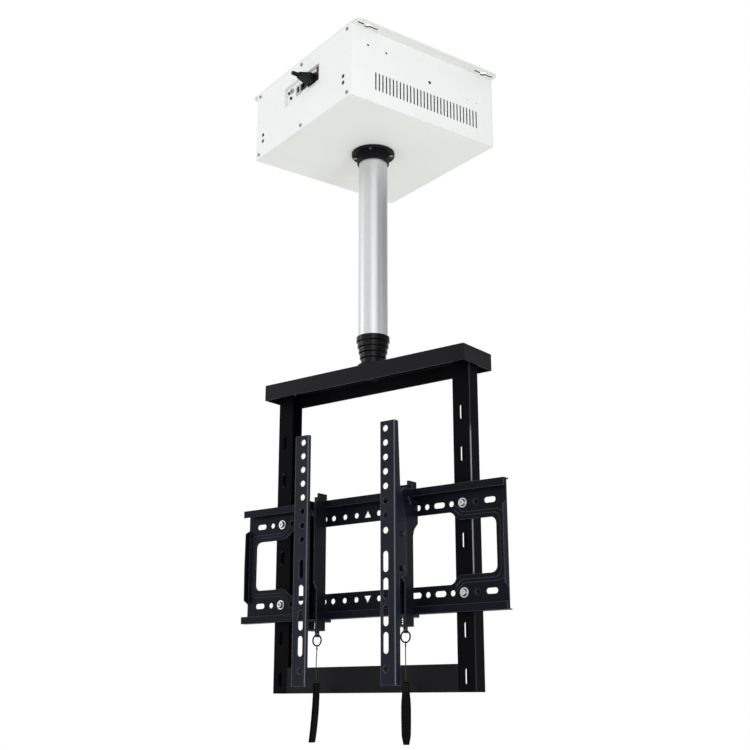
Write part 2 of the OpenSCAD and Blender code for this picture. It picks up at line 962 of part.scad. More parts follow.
// outline of the stepped window, grown by an edge
function window(e) = [[-win_end - e, -win_side - e], [-step_out - e / 2, -win_side - e],
    [-step_in - e / 2, -win_mid - e], [step_in + e / 2, -win_mid - e], [step_out + e / 2, -win_side - e],
    [win_end + e, -win_side - e], [win_end + e, win_side + e], [step_out + e / 2, win_side + e],
    [step_in + e / 2, win_mid + e], [-step_in - e / 2, win_mid + e], [-step_out - e / 2, win_side + e],
    [-win_end - e, win_side + e]];

// holes of one row of the plate, drawn in X and Z
module row_holes(up) {
    for (sx = [-1, 1]) {
        for (px = [27, 55.5, 84, 139, 193, 245]) {
            translate([sx * px, 0]) circle(r = row_hole);
        }
        for (px = [112.5, 166.5, half_len - 38.5]) {
            translate([sx * px, 0]) rotate([0, 0, 90]) slot2d(24, 2 * row_hole);
        }
        translate([sx * post_x, 0]) circle(r = bolt_r + fit_gap);
    }
    scale([1, up]) polygon([[-8, -6], [8, -6], [0, 7.5]]);
}

// one step of the pressed rim round the outer end of the window
module window_rim(wide, high) {
    plate_xz(web_front - high, web_front)
    difference() {
        intersection() {
            polygon(rounded(window(wide), win_bend + 2));
            translate([rim_from, -half_h]) square([half_len, plate_h]);
        }
        polygon(rounded(window(0), win_bend));
    }
}

module wall_plate() {
    color([0.055, 0.06, 0.07])
    translate([0, 0, plate_z]) {
        plate_xz(web_front, post_front)
        difference() {
            square([2 * web_half, plate_h], center = true);
            polygon(rounded(window(0), win_bend));
            translate([0, bolt_row]) row_holes(1);
            translate([0, -bolt_row]) row_holes(-1);
        }
        for (sz = [-1, 1]) {
            scale([1, 1, sz]) {
                span([-half_len, lip_front, half_h - plate_t], [half_len, post_front, half_h]);
                span([-half_len, lip_front, half_h - lip_h], [half_len, lip_front + plate_t, half_h]);
            }
        }
        for (sx = [-1, 1]) {
            scale([sx, 1, 1]) {
                plate_yz(web_half - plate_t, web_half)
                polygon([[post_front, -flange_half], [lip_front + 2, 8 - flange_half], [lip_front + 1, 0],
                    [lip_front + 2, flange_half - 8], [post_front, flange_half]]);
                window_rim(14, 1.2);
                window_rim(8, 2.4);
            }
        }
    }
}

module plate_bolts() {
    for (sx = [-1, 1]) {
        for (sz = [-1, 1]) {
            translate([sx * post_x, 0, plate_z + sz * bolt_row]) {
                bar_y(9, web_front - 1.6, web_front);
                difference() {
                    translate([0, web_front - 1.6, 0]) rotate([90, 0, 0]) cylinder(r1 = 7, r2 = 5, h = 4.4);
                    hex_y(2.9, web_front - 7, web_front - 3.4);
                }
                bar_y(bolt_r, web_front - 2, post_front + post_t + 9);
                difference() {
                    hex_y(7, post_front + post_t, post_front + post_t + 6.5);
                    bar_y(bolt_r + fit_gap, post_front, post_front + post_t + 8);
                }
            }
        }
    }
}

module frame_bolts() {
    color([0.72, 0.73, 0.74]) {
        post_bolts();
        plate_bolts();
    }
}

// screen mount, right-hand side

// outer side of the bracket, drawn in Y and Z about the plate's middle
module bracket_outer() {
    side_top = half_h - 1;
    nose_y = pivot_y - pivot_edge;
    rear_top = half_h - lip_h - 6;
    difference() {
        polygon([[bracket_back, foot_z], [bracket_back, pivot_z], [bracket_back + 4, pivot_z + 12],
            [rear_y, pivot_z + 24], [rear_y, rear_top - 5], [bracket_back, rear_top],
            [bracket_back, side_top],
            [nose_y + 18, side_top], [nose_y, side_top - 19], [nose_y, lock_z - 9], [foot_y, lock_z - 22],
            [foot_y, foot_z]]);
        translate([pivot_y, pivot_z]) circle(r = bolt_r + fit_gap);
        translate([pivot_y, lock_z]) circle(r = bolt_r + fit_gap);
        translate([pivot_y + 22, rear_top - 4]) polygon([[-7, -6], [7, -6], [0, 8]]);
    }
}

// inner side of the bracket, which carries no bolt
module bracket_inner() {
    side_top = half_h - 1;
    polygon([[bracket_back, foot_z], [bracket_back, side_top], [inner_front + 8, side_top],
        [inner_front, side_top - 10], [inner_front, lock_z - 9], [foot_y, lock_z - 22], [foot_y, foot_z]]);
}

// hook over the plate's upper shelf
module bracket_hook() {
    hook_low = half_h - hook_drop;
    hook_in = post_front + clear + 0.2;
    hook_fore = bracket_back - bracket_t;
    hook_root = half_h / 2;
    polygon([[bracket_back, hook_root], [bracket_back, half_h + clear], [hook_in, half_h + clear],
        [hook_in, hook_low], [hook_in + hook_t, hook_low], [hook_in + hook_t, half_h + hook_rise],
        [hook_fore, half_h + hook_rise], [hook_fore, hook_root]]);
}

module bracket() {
    foot_t = 2.5;
    color([0.05, 0.055, 0.065])
    translate([0, 0, plate_z]) {
        plate_yz(bracket_in, bracket_in + bracket_t) bracket_inner();
        plate_yz(bracket_out - bracket_t, bracket_out) bracket_outer();
        plate_yz(hook_x, hook_x + hook_w) bracket_hook();
        span([bracket_in, bracket_back - bracket_t, 3 - half_h],
            [bracket_out, bracket_back, half_h + web_rise]);
        difference() {
            span([bracket_in, foot_y, foot_z], [bracket_out, bracket_back, foot_z + foot_t]);
            span([arm_mid - 1.5 - latch_play, latch_y - 5 - latch_play, foot_z - 1],
                [arm_mid + 1.5 + latch_play, latch_y + 5 + latch_play, foot_z + foot_t + 1]);
        }
    }
}

module right_bracket() {
    bracket();
}

module left_bracket() {
    left_side() bracket();
}

// pivot and lock bolts of the arm, with their nuts
module tilt_bolts() {
    nut_face = bracket_out - bracket_t;
    color([0.3, 0.31, 0.33])
    for (pz = [pivot_z, lock_z]) {
        translate([0, pivot_y, plate_z + pz]) {
            bar_x(bolt_r, nut_face - 8, arm_out + 1);
            bar_x(5, arm_out + clear, arm_out + 2.4);
            hex_x(6.4, nut_face - 6.5, nut_face);
        }
    }
}

module right_tilt_bolts() {
    tilt_bolts();
}

module left_tilt_bolts() {
    left_side() tilt_bolts();
}

// outer side of the arm, drawn in Y and Z about the plate's middle
module arm_side() {
    low = arm_rise - arm_len;
    deep = pivot_y + lug_edge;
    lock_arm = pivot_z - lock_z;
    slot_fore = lock_arm * sin(tilt_down);
    slot_aft = lock_arm * sin(tilt_up);
    slot_wide = 2 * bolt_r + 3;
    difference() {
        polygon([[-arm_front, low], [-arm_front, arm_rise], [arm_head - arm_front, arm_rise],
            [arm_shoulder - arm_front, half_h + 2], [deep, pivot_z + 20], [deep, lock_z - 10],
            [arm_tail - arm_front, lock_z - 18], [arm_tail - arm_front, low]]);
        translate([pivot_y, pivot_z]) circle(r = bolt_r + run_gap);
        translate([pivot_y + (slot_aft - slot_fore) / 2, lock_z])
        rotate([0, 0, 90]) slot2d(slot_fore + slot_aft + slot_wide, slot_wide);
    }
}

// face of the arm, drawn in X and Z about the plate's middle
module arm_face() {
    low = arm_rise - arm_len;
    top = arm_rise - hole_top;
    difference() {
        translate([arm_in, low]) square([arm_out - arm_in, arm_len]);
        for (i = [0 : hole_count - 1]) {
            translate([arm_x, top - hole_pitch * i]) circle(r = hole_r);
        }
        for (i = [0 : face_slots - 1]) {
            translate([arm_x, top - slot_down - slot_step * i]) slot2d(face_slot, 2 * hole_r);
        }
        translate([arm_x, low + 2 * hole_top]) circle(r = hole_r);
    }
}

// section of the folded sheet from outside, drawn in X and Y
module arm_section() {
    fore_in = [arm_in, -arm_front];
    fore_out = [arm_out, -arm_front];
    polygon(concat([[arm_in, 0]], corner([arm_in, 0], fore_in, fore_out, arm_bend, 4),
        corner(fore_in, fore_out, [arm_out, 0], arm_bend, 4), [[arm_out, 0]]));
}

module arm() {
    low = arm_rise - arm_len;
    color([0.055, 0.06, 0.07])
    translate([0, 0, plate_z])
    intersection() {
        union() {
            plate_xz(-arm_front, arm_web) arm_face();
            span([arm_in, -arm_front, low], [arm_in + arm_t, arm_lip - arm_front, arm_rise]);
            plate_yz(arm_out - arm_t, arm_out) arm_side();
        }
        translate([0, 0, low]) linear_extrude(arm_len) arm_section();
    }
}

module right_arm() {
    arm();
}

module left_arm() {
    left_side() arm();
}

// latch: a nose under the plate's lower shelf with a tooth behind its web
module latch() {
    tooth_y = post_front + clear + 0.2;
    nose_w = bracket_out - bracket_in - 2 * bracket_t - 2 * latch_play;
    color([0.1, 0.1, 0.11])
    translate([arm_mid, 0, plate_z]) {
        span([-nose_w / 2, spring_y - 6, nose_top - nose_t], [nose_w / 2, tooth_y + 3, nose_top]);
        span([-nose_w / 2, tooth_y, nose_top - 1], [nose_w / 2, tooth_y + 3, -half_h + 6]);
        difference() {
            span([-1.5, latch_y - 5, eye_z - 5], [1.5, latch_y + 5, nose_top - 1]);
            translate([0, latch_y, eye_z]) bar_x(2.5, -3, 3);
        }
    }
}

module right_latch() {
    latch();
}

module left_latch() {
    left_side() latch();
}

function spring_path() =
    let (z0 = foot_z + 2.5 + spring_wire + 0.1, z1 = nose_top - nose_t - spring_wire - 0.1,
        m = 8 * spring_turns)
    [for (i = [0 : m]) [arm_mid + spring_r * cos(45 * i), spring_y + spring_r * sin(45 * i),
        plate_z + z0 + (z1 - z0) * i / m]];

module latch_spring() {
    color([0.7, 0.71, 0.72]) swept(spring_path(), spring_wire, 6, [0, 0, 1]);
}

module right_latch_spring() {
    latch_spring();
}

module left_latch_spring() {
    left_side() latch_spring();
}

// pull ring, hanging in the latch's eye
ring_z = plate_z + eye_z - 2.5 + ring_wire + clear - ring_r;

module pull_ring() {
    color([0.08, 0.08, 0.085])
    translate([arm_mid, latch_y, ring_z])
    rotate([90, 0, 0])
    rotate_extrude($fn = 40)
    translate([ring_r, 0]) circle(r = ring_wire, $fn = 16);
}

// the cord and the strap below it, as points on their routes
cord_r = 0.9;
cord_top = ring_z - ring_r - ring_wire - clear;
strap_top = plate_z - 232;
cord_y = latch_y;
cord_route = [[0, 0, cord_top], [0, -0.5, cord_top - 12], [0.5, -1, cord_top - 28],
    [0.5, -0.5, cord_top - 44], [0, 0, strap_top + clear]];

module pull_cord() {
    color([0.1, 0.1, 0.11])
    translate([arm_mid, cord_y, 0]) swept(cord_route, cord_r, 8, [1, 0, 0]);
}

module right_pull_cord() {
    pull_cord();
}

module left_pull_cord() {
    left_side() pull_cord();
}

// a webbing loop that hangs from the cord, drawn in X and Z
strap_len = 107;
web_t = 1.4;
web_w = 15;
strap_steps = 12;
function strap_bow(t, bulge) = bulge * sin(180 * t) + web_t / 2 + 0.3 * t;
function strap_line(bulge, bend, side, edge) =
    [for (i = [0 : strap_steps])
        let (t = i / strap_steps)
        [bend * t * t + side * max(0.25, strap_bow(t, bulge) + edge), -strap_len * t]];

module strap_loop(bulge, bend) {
    outer = concat(strap_line(bulge, bend, 1, web_t), [for (i = [strap_steps : -1 : 0])
        strap_line(bulge, bend, -1, web_t)[i]]);
    inner = concat([for (i = [1 : strap_steps]) strap_line(bulge, bend, 1, 0)[i]],
        [for (i = [strap_steps : -1 : 1]) strap_line(bulge, bend, -1, 0)[i]]);
    difference() {
        polygon(outer);
        polygon([for (p = inner) [p[0], -web_t - p[1] * (2 * web_t / strap_len - 1)]]);
    }
}

module pull_strap(bulge, bend, turn) {
    color([0.06, 0.06, 0.065])
    translate([arm_mid, latch_y, strap_top])
    rotate([0, 0, turn])
    plate_xz(-web_w / 2, web_w / 2) strap_loop(bulge, bend);
}

module right_pull_ring() {
    pull_ring();
}

module left_pull_ring() {
    left_side() pull_ring();
}

module right_pull_strap() {
    pull_strap(4.5, 0, -68);
}

module left_pull_strap() {
    left_side() pull_strap(0.5, 9, 0);
}

ceiling_plate();
housing_tray();
panel_cover();
rear_cover();
housing_screws();
io_panel();
inlet_module();
rocker();
mains_plug();
data_socket();
serial_port();
round_jack();
up_button();
down_button();
control_board();
power_supply();
winch_frame();
winch_drum();
gear_motor();
lift_strap();
tube_flange();
tube_1();
tube_2();
tube_3();
tube_4();
tube_5();
collar_1();
collar_2();
collar_3();
collar_4();
collar_5();
guide_2();
guide_3();
guide_4();
guide_5();
swivel_stud();
swivel_nut();
swivel_hub();
cross_beam();
left_post();
right_post();
frame_bolts();
lower_crossbar();
wall_plate();
left_bracket();
right_bracket();
left_tilt_bolts();
right_tilt_bolts();
left_arm();
right_arm();
left_latch();
right_latch();
left_latch_spring();
right_latch_spring();
left_pull_ring();
right_pull_ring();
left_pull_cord();
right_pull_cord();
left_pull_strap();
right_pull_strap();
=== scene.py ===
import bmesh
import bpy
import math
from mathutils import Matrix, Vector


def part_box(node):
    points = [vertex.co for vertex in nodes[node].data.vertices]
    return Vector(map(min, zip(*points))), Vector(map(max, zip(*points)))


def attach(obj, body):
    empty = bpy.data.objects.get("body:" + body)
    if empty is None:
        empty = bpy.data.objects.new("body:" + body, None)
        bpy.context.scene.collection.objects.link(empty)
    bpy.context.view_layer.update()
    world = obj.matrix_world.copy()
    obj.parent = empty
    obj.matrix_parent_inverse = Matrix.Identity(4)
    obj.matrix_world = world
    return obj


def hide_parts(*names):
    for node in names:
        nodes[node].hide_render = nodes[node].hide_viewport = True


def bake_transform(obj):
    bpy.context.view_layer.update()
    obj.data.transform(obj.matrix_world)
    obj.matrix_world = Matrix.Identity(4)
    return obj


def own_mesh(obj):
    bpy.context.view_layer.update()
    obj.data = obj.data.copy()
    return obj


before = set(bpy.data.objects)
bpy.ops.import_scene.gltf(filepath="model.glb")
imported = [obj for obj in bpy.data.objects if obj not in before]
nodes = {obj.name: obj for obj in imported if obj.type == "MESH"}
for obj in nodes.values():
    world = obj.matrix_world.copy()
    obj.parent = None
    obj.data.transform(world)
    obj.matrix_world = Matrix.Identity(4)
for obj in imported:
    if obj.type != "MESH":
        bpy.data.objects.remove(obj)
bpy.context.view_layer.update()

# The studio: a plain white room with a pale floor, low enough for the lift run right out, and a grey card.
# Even light comes from all sides, and three large soft lamps and the card give the metal its shading.
# The camera stands low in front, to the right, and looks up past the frame at the ceiling box.
scene = bpy.context.scene
scene.view_settings.view_transform = "Standard"
camera = bpy.data.objects.new("photo_camera", bpy.data.cameras.new("photo_camera"))
camera.location = (1.347, -1.749, -1.277)
camera.rotation_euler = (math.radians(106), 0, math.radians(37.5))
camera.data.sensor_width = 36
camera.data.lens = 55.2
scene.collection.objects.link(camera)
scene.camera = camera


def add_node(tree, kind, inputs=None, **settings):
    made = tree.nodes.new("ShaderNode" + kind)
    for key, value in settings.items():
        setattr(made, key, value)
    for key, value in (inputs or {}).items():
        if isinstance(value, bpy.types.NodeSocket):
            tree.links.new(value, made.inputs[key])
        else:
            made.inputs[key].default_value = value
    return made


def seen_share(tree):
    # 1 for rays by which the camera sees a thing straight, mirrored or through glass
    ray = add_node(tree, "LightPath").outputs
    seen = add_node(tree, "Math", {0: ray["Is Camera Ray"], 1: ray["Is Glossy Ray"]}, operation="MAXIMUM")
    seen = add_node(tree, "Math", {0: seen.outputs[0], 1: ray["Is Transmission Ray"]}, operation="MAXIMUM")
    return seen.outputs[0]


world = bpy.data.worlds.new("white_room")
world.use_nodes = True
scene.world = world
sky = world.node_tree
sky.nodes.clear()
room_light = add_node(sky, "Background", {"Color": (0.97, 0.985, 1.0, 1), "Strength": 0.88}).outputs[0]
room_white = add_node(sky, "Background", {"Color": (1, 1, 1, 1), "Strength": 1.0}).outputs[0]
room_mix = add_node(sky, "MixShader", {0: seen_share(sky), 1: room_light, 2: room_white})
add_node(sky, "OutputWorld", {"Surface": room_mix.outputs[0]})


def soft_lamp(name, place, aim, size, power, tint):
    lamp = bpy.data.objects.new(name, bpy.data.lights.new(name, "AREA"))
    lamp.data.shape = "RECTANGLE"
    lamp.data.size, lamp.data.size_y = size
    lamp.data.energy = power
    lamp.data.color = tint
    lamp.location = place
    lamp.rotation_euler = (Vector(aim) - Vector(place)).to_track_quat("-Z", "Y").to_euler()
    scene.collection.objects.link(lamp)


soft_lamp("key_softbox", (1.93, -2.3, -0.2), (0, 0, -0.5), (1.2, 2.0), 11.5, (0.97, 1, 1))
soft_lamp("left_softbox", (-2.5, -1.7, -0.2), (0, 0, -0.6), (1.2, 2.0), 12.5, (0.97, 0.985, 1))
soft_lamp("low_softbox", (2.5, -0.75, -1.25), (0.1, 0, -0.15), (1.2, 0.7), 20, (0.97, 1, 1))


def backdrop(name, corners, deep, pale, seen_by_camera=True):
    mesh = bpy.data.meshes.new(name)
    mesh.from_pydata(corners, [], [(0, 1, 2, 3)])
    board = bpy.data.objects.new(name, mesh)
    board.visible_camera = seen_by_camera
    scene.collection.objects.link(board)
    paint = bpy.data.materials.new(name + "_paint")
    paint.use_nodes = True
    tree = paint.node_tree
    shader = tree.nodes["Principled BSDF"]
    shader.inputs["Roughness"].default_value = 0.8
    shader.inputs["Specular IOR Level"].default_value = 0.2
    grain = add_node(tree, "TexNoise", {"Scale": 3.0, "Detail": 4.0})
    tone = add_node(tree, "Mix", {0: grain.outputs[0], 6: deep, 7: pale}, data_type="RGBA")
    tree.links.new(tone.outputs[2], shader.inputs["Base Color"])
    if seen_by_camera:
        # the eye sees the board nearly as white as the room, with a faint shadow of the object left on it
        share = add_node(tree, "Math", {0: seen_share(tree), 1: 0.85}, operation="MULTIPLY").outputs[0]
        glow = add_node(tree, "Emission", {"Color": (1, 1, 1, 1), "Strength": 1.0}).outputs[0]
        lit = add_node(tree, "MixShader", {0: share, 1: shader.outputs[0], 2: glow})
        tree.links.new(lit.outputs[0], tree.nodes["Material Output"].inputs["Surface"])
    mesh.materials.append(paint)


floor_z, floor_half = -2.45, 20
backdrop("floor", [(-floor_half, -floor_half, floor_z), (floor_half, -floor_half, floor_z),
                   (floor_half, floor_half, floor_z), (-floor_half, floor_half, floor_z)],
         (0.87, 0.855, 0.8, 1), (0.88, 0.865, 0.815, 1))
card_low, card_high = -0.35, 0.5
card_near, card_far = (1.4, -0.55), (0.1, 1.5)
card_grey = (0.36, 0.36, 0.36, 1)
backdrop("side_card", [(*card_near, card_low), (*card_far, card_low), (*card_far, card_high),
                       (*card_near, card_high)], card_grey, card_grey, False)

# The ceiling box: a plate with keyholes for the ceiling bolts, a folded tray with vent slots in both sides,
# and two end covers. All of it is sheet steel with a white powder coat, which shows a very fine orange peel
# and has a painted highlight along its edges and folds.


def shader_group(name, inputs, outputs):
    tree = bpy.data.node_groups.new(name, "ShaderNodeTree")
    for label, value in inputs:
        socket = tree.interface.new_socket(label, in_out="INPUT", socket_type="NodeSocketFloat")
        socket.default_value = value
    for label, kind in outputs:
        tree.interface.new_socket(label, in_out="OUTPUT", socket_type="NodeSocket" + kind)
    return tree, tree.nodes.new("NodeGroupInput").outputs, tree.nodes.new("NodeGroupOutput").inputs


powder_grain, given, made = shader_group("powder_grain", [("Grains per Metre", 900.0), ("Cloud Scale", 9.0)],
                                         [("Height", "Float"), ("Mottle", "Float")])
place = add_node(powder_grain, "TexCoord").outputs["Object"]
peel = add_node(powder_grain, "TexNoise", {"Vector": place, "Scale": given["Grains per Metre"],
                                           "Detail": 2.0})
cloud = add_node(powder_grain, "TexNoise", {"Vector": place, "Scale": given["Cloud Scale"], "Detail": 4.0})
spread = add_node(powder_grain, "MapRange", {0: cloud.outputs[0], 1: 0.3, 2: 0.7})
powder_grain.links.new(peel.outputs[0], made["Height"])
powder_grain.links.new(spread.outputs[0], made["Mottle"])

# edge masks: patchy wear along the edges, an even painted highlight along every edge, and eased edge normals
edge_wear_and_highlight, given, made = shader_group("edge_wear_and_highlight", [("Radius", 0.0008), ("Patchiness", 60.0)],
                                     [("Edge", "Float"), ("Painted Highlight", "Float"), ("Normal", "Vector")])
place = add_node(edge_wear_and_highlight, "TexCoord").outputs["Object"]
eased = add_node(edge_wear_and_highlight, "Bevel", {"Radius": given["Radius"]}, samples=6)
face = add_node(edge_wear_and_highlight, "NewGeometry").outputs["Normal"]
agree = add_node(edge_wear_and_highlight, "VectorMath", {0: eased.outputs[0], 1: face}, operation="DOT_PRODUCT")
turned = add_node(edge_wear_and_highlight, "MapRange", {0: agree.outputs["Value"], 1: 0.995, 2: 0.85})
patch = add_node(edge_wear_and_highlight, "TexNoise", {"Vector": place, "Scale": given["Patchiness"], "Detail": 3.0})
patch_mask = add_node(edge_wear_and_highlight, "MapRange", {0: patch.outputs[0], 1: 0.35, 2: 0.65})
worn = add_node(edge_wear_and_highlight, "Math", {0: turned.outputs[0], 1: patch_mask.outputs[0]}, operation="MULTIPLY")
edge_wear_and_highlight.links.new(worn.outputs[0], made["Edge"])
edge_wear_and_highlight.links.new(turned.outputs[0], made["Painted Highlight"])
edge_wear_and_highlight.links.new(eased.outputs[0], made["Normal"])

# a painted highlight on the bends: the share of a face that turns between the object's axes
painted_fold_highlight, given, made = shader_group("painted_fold_highlight", [("Width", 0.16)], [("Fold", "Float")])
lie = add_node(painted_fold_highlight, "VectorTransform", {0: add_node(painted_fold_highlight, "NewGeometry").outputs["Normal"]},
               vector_type="NORMAL", convert_from="WORLD", convert_to="OBJECT")
sides = add_node(painted_fold_highlight, "SeparateXYZ", {0: add_node(painted_fold_highlight, "VectorMath", {0: lie.outputs[0]},
                                                         operation="ABSOLUTE").outputs[0]})
flat = add_node(painted_fold_highlight, "Math", {0: sides.outputs["X"], 1: sides.outputs["Y"]}, operation="MAXIMUM")
flat = add_node(painted_fold_highlight, "Math", {0: flat.outputs[0], 1: sides.outputs["Z"]}, operation="MAXIMUM")
bent = add_node(painted_fold_highlight, "Math", {0: 0.99, 1: flat.outputs[0]}, operation="SUBTRACT")
bent = add_node(painted_fold_highlight, "Math", {0: bent.outputs[0], 1: given["Width"]}, operation="DIVIDE",
                use_clamp=True)
painted_fold_highlight.links.new(bent.outputs[0], made["Fold"])

settled_dust, given, made = shader_group("settled_dust", [("Cover", 0.5)], [("Dust", "Float")])
place = add_node(settled_dust, "TexCoord").outputs["Object"]
up = add_node(settled_dust, "SeparateXYZ", {0: add_node(settled_dust, "NewGeometry").outputs["Normal"]})
facing = add_node(settled_dust, "MapRange", {0: up.outputs["Z"], 1: 0.7, 2: 0.98})
drift = add_node(settled_dust, "TexNoise", {"Vector": place, "Scale": 55.0, "Detail": 6.0, "Roughness": 0.7})
blend_share = add_node(settled_dust, "MapRange", {0: drift.outputs[0], 1: 0.4, 2: 0.75})
lying = add_node(settled_dust, "Math", {0: facing.outputs[0], 1: blend_share.outputs[0]}, operation="MULTIPLY")
dust = add_node(settled_dust, "Math", {0: lying.outputs[0], 1: given["Cover"]}, operation="MULTIPLY")
settled_dust.links.new(dust.outputs[0], made["Dust"])


def finish(name, **plain):
    coat = bpy.data.materials.new(name)
    coat.use_nodes = True
    shader = coat.node_tree.nodes["Principled BSDF"]
    for key, value in plain.items():
        shader.inputs[key.replace("_", " ")].default_value = value
    return coat, coat.node_tree, shader


def put(tree, group, **values):
    placed = add_node(tree, "Group", node_tree=group)
    for key, value in values.items():
        placed.inputs[key.replace("_", " ")].default_value = value
    return placed.outputs


def blend_colour(tree, share, first, second):
    return add_node(tree, "Mix", {0: share, 6: first, 7: second}, data_type="RGBA").outputs[2]


def wear(tree, shader, colour, rough, height, normal, strength, depth):
    tree.links.new(colour, shader.inputs["Base Color"])
    tree.links.new(rough, shader.inputs["Roughness"])
    bump = add_node(tree, "Bump", {"Height": height, "Normal": normal, "Strength": strength,
                                   "Distance": depth})
    tree.links.new(bump.outputs[0], shader.inputs["Normal"])


def powder_coat(name, deep, pale, edge_wear_and_highlight_tone, rough, dusty, specular, edge=0.0008, folded=False,
                highlight_span=None):
    coat, tree, shader = finish(name, Specular_IOR_Level=specular)
    grain = put(tree, powder_grain)
    edge_masks = put(tree, edge_wear_and_highlight, Radius=edge)
    lying = put(tree, settled_dust, Cover=dusty)
    tone = blend_colour(tree, grain["Mottle"], deep, pale)
    # painted highlight: the coat is lightened evenly along its edges, and along its bends too when folded
    blend_share = edge_masks["Painted Highlight"]
    if folded:
        fold = put(tree, painted_fold_highlight)["Fold"]
        blend_share = add_node(tree, "Math", {0: blend_share, 1: fold}, operation="MAXIMUM").outputs[0]
    if highlight_span:
        # the folds get a painted highlight only between these heights, and the cut edges get none
        low, high = highlight_span
        fold = put(tree, painted_fold_highlight)["Fold"]
        place = add_node(tree, "TexCoord").outputs["Object"]
        height = add_node(tree, "SeparateXYZ", {0: place}).outputs["Z"]
        above = add_node(tree, "MapRange", {0: height, 1: low, 2: low + 0.05, 3: 0.08})
        below = add_node(tree, "MapRange", {0: height, 1: high, 2: high + 0.02, 3: 1.0, 4: 0.1})
        bright = add_node(tree, "Math", {0: above.outputs[0], 1: below.outputs[0]}, operation="MULTIPLY")
        blend_share = add_node(tree, "Math", {0: fold, 1: bright.outputs[0]}, operation="MULTIPLY").outputs[0]
    tone = blend_colour(tree, blend_share, tone, edge_wear_and_highlight_tone)
    tone = blend_colour(tree, lying["Dust"], tone, (0.42, 0.41, 0.39, 1))
    sheen = add_node(tree, "MapRange", {0: grain["Mottle"], 3: rough[0], 4: rough[1]})
    wear(tree, shader, tone, sheen.outputs[0], grain["Height"], edge_masks["Normal"], 0.12, 0.0002)
    return coat


def dress(coat, *names):
    for name in names:
        for held in nodes[name].material_slots:
            held.material = coat


white_coat = powder_coat("white_powder_coat", (0.85, 0.862, 0.862, 1), (0.885, 0.897, 0.895, 1),
                         (0.93, 0.935, 0.93, 1), (0.38, 0.5), 0.25, 0.4)
dress(white_coat, "housing_tray", "panel_cover", "rear_cover", "io_panel")

# The ceiling plate: the same sheet steel with a greyer white coat. The inner walls of its keyholes are
# painted near black as painted shade, while its rim keeps the coat.
box_turn = math.radians(16)
inside_x, inside_y = 0.195, 0.176
keyhole_shaded_coat = powder_coat("keyhole_shaded_white_coat", (0.775, 0.783, 0.78, 1), (0.805, 0.813, 0.81, 1),
                       (0.83, 0.835, 0.83, 1), (0.38, 0.5), 0.25, 0.4)
dress(keyhole_shaded_coat, "ceiling_plate")
tree = keyhole_shaded_coat.node_tree
square_on = add_node(tree, "Mapping", {"Vector": add_node(tree, "TexCoord").outputs["Object"],
                                       "Rotation": (0, 0, box_turn)})
from_middle = add_node(tree, "SeparateXYZ", {0: add_node(tree, "VectorMath", {0: square_on.outputs[0]},
                                                         operation="ABSOLUTE").outputs[0]})
upright = add_node(tree, "SeparateXYZ", {0: add_node(tree, "VectorMath", {
    0: add_node(tree, "NewGeometry").outputs["True Normal"]}, operation="ABSOLUTE").outputs[0]})
within_x = add_node(tree, "Math", {0: from_middle.outputs["X"], 1: inside_x}, operation="LESS_THAN")
within_y = add_node(tree, "Math", {0: from_middle.outputs["Y"], 1: inside_y}, operation="LESS_THAN")
wall = add_node(tree, "Math", {0: upright.outputs["Z"], 1: 0.5}, operation="LESS_THAN")
keyhole_shade = add_node(tree, "Math", {0: within_x.outputs[0], 1: within_y.outputs[0]}, operation="MULTIPLY")
keyhole_shade = add_node(tree, "Math", {0: keyhole_shade.outputs[0], 1: wall.outputs[0]}, operation="MULTIPLY")
shader = tree.nodes["Principled BSDF"]
coated = shader.inputs["Base Color"].links[0].from_socket
# painted shade: the keyholes' inner walls are turned near black
tone = blend_colour(tree, keyhole_shade.outputs[0], coated, (0.012, 0.012, 0.013, 1))
tree.links.new(tone, shader.inputs["Base Color"])

# The cover and flange screws: small pan heads with a cross or a socket, turned from steel and zinc plated.
# The plating is slightly cloudy, and it is painted darker than the larger bolts further down as painted shade
# for the drive recesses.


def clouded(name, deep, pale, edge_wear_and_highlight_tone, rough, grains, clouds, strength, edge=0.0003, depth=0.0001, **plain):
    coat, tree, shader = finish(name, **plain)
    cloudy = put(tree, powder_grain, Grains_per_Metre=grains, Cloud_Scale=clouds)
    edge_masks = put(tree, edge_wear_and_highlight, Radius=edge)
    tone = blend_colour(tree, cloudy["Mottle"], deep, pale)
    tone = blend_colour(tree, edge_masks["Edge"], tone, edge_wear_and_highlight_tone)
    sheen = add_node(tree, "MapRange", {0: cloudy["Mottle"], 3: rough[0], 4: rough[1]})
    wear(tree, shader, tone, sheen.outputs[0], cloudy["Height"], edge_masks["Normal"], strength, depth)
    return coat


screw_zinc = clouded("screw_zinc", (0.26, 0.26, 0.27, 1), (0.34, 0.34, 0.35, 1), (0.42, 0.42, 0.42, 1),
                     (0.42, 0.26), 1800.0, 120.0, 0.1, Metallic=1.0, Specular_IOR_Level=0.5)
dress(screw_zinc, "housing_screws")

# The connection panel: a recessed plate with a mains inlet and switch in one black moulding, a rocker, the
# fitted mains plug, two data sockets, a serial port, a round jack and two push buttons. The mouldings have a
# fine spark-eroded grain, and the port shells are plated steel.

moulded_grain, given, made = shader_group("moulded_grain", [("Pits per Metre", 2600.0)],
                                          [("Height", "Float"), ("Scuff", "Float")])
place = add_node(moulded_grain, "TexCoord").outputs["Object"]
pits = add_node(moulded_grain, "TexVoronoi", {"Vector": place, "Scale": given["Pits per Metre"]})
scuff = add_node(moulded_grain, "TexNoise", {"Vector": place, "Scale": 140.0, "Detail": 5.0,
                                             "Roughness": 0.65})
scuff_mask = add_node(moulded_grain, "MapRange", {0: scuff.outputs[0], 1: 0.35, 2: 0.7})
moulded_grain.links.new(pits.outputs["Distance"], made["Height"])
moulded_grain.links.new(scuff_mask.outputs[0], made["Scuff"])


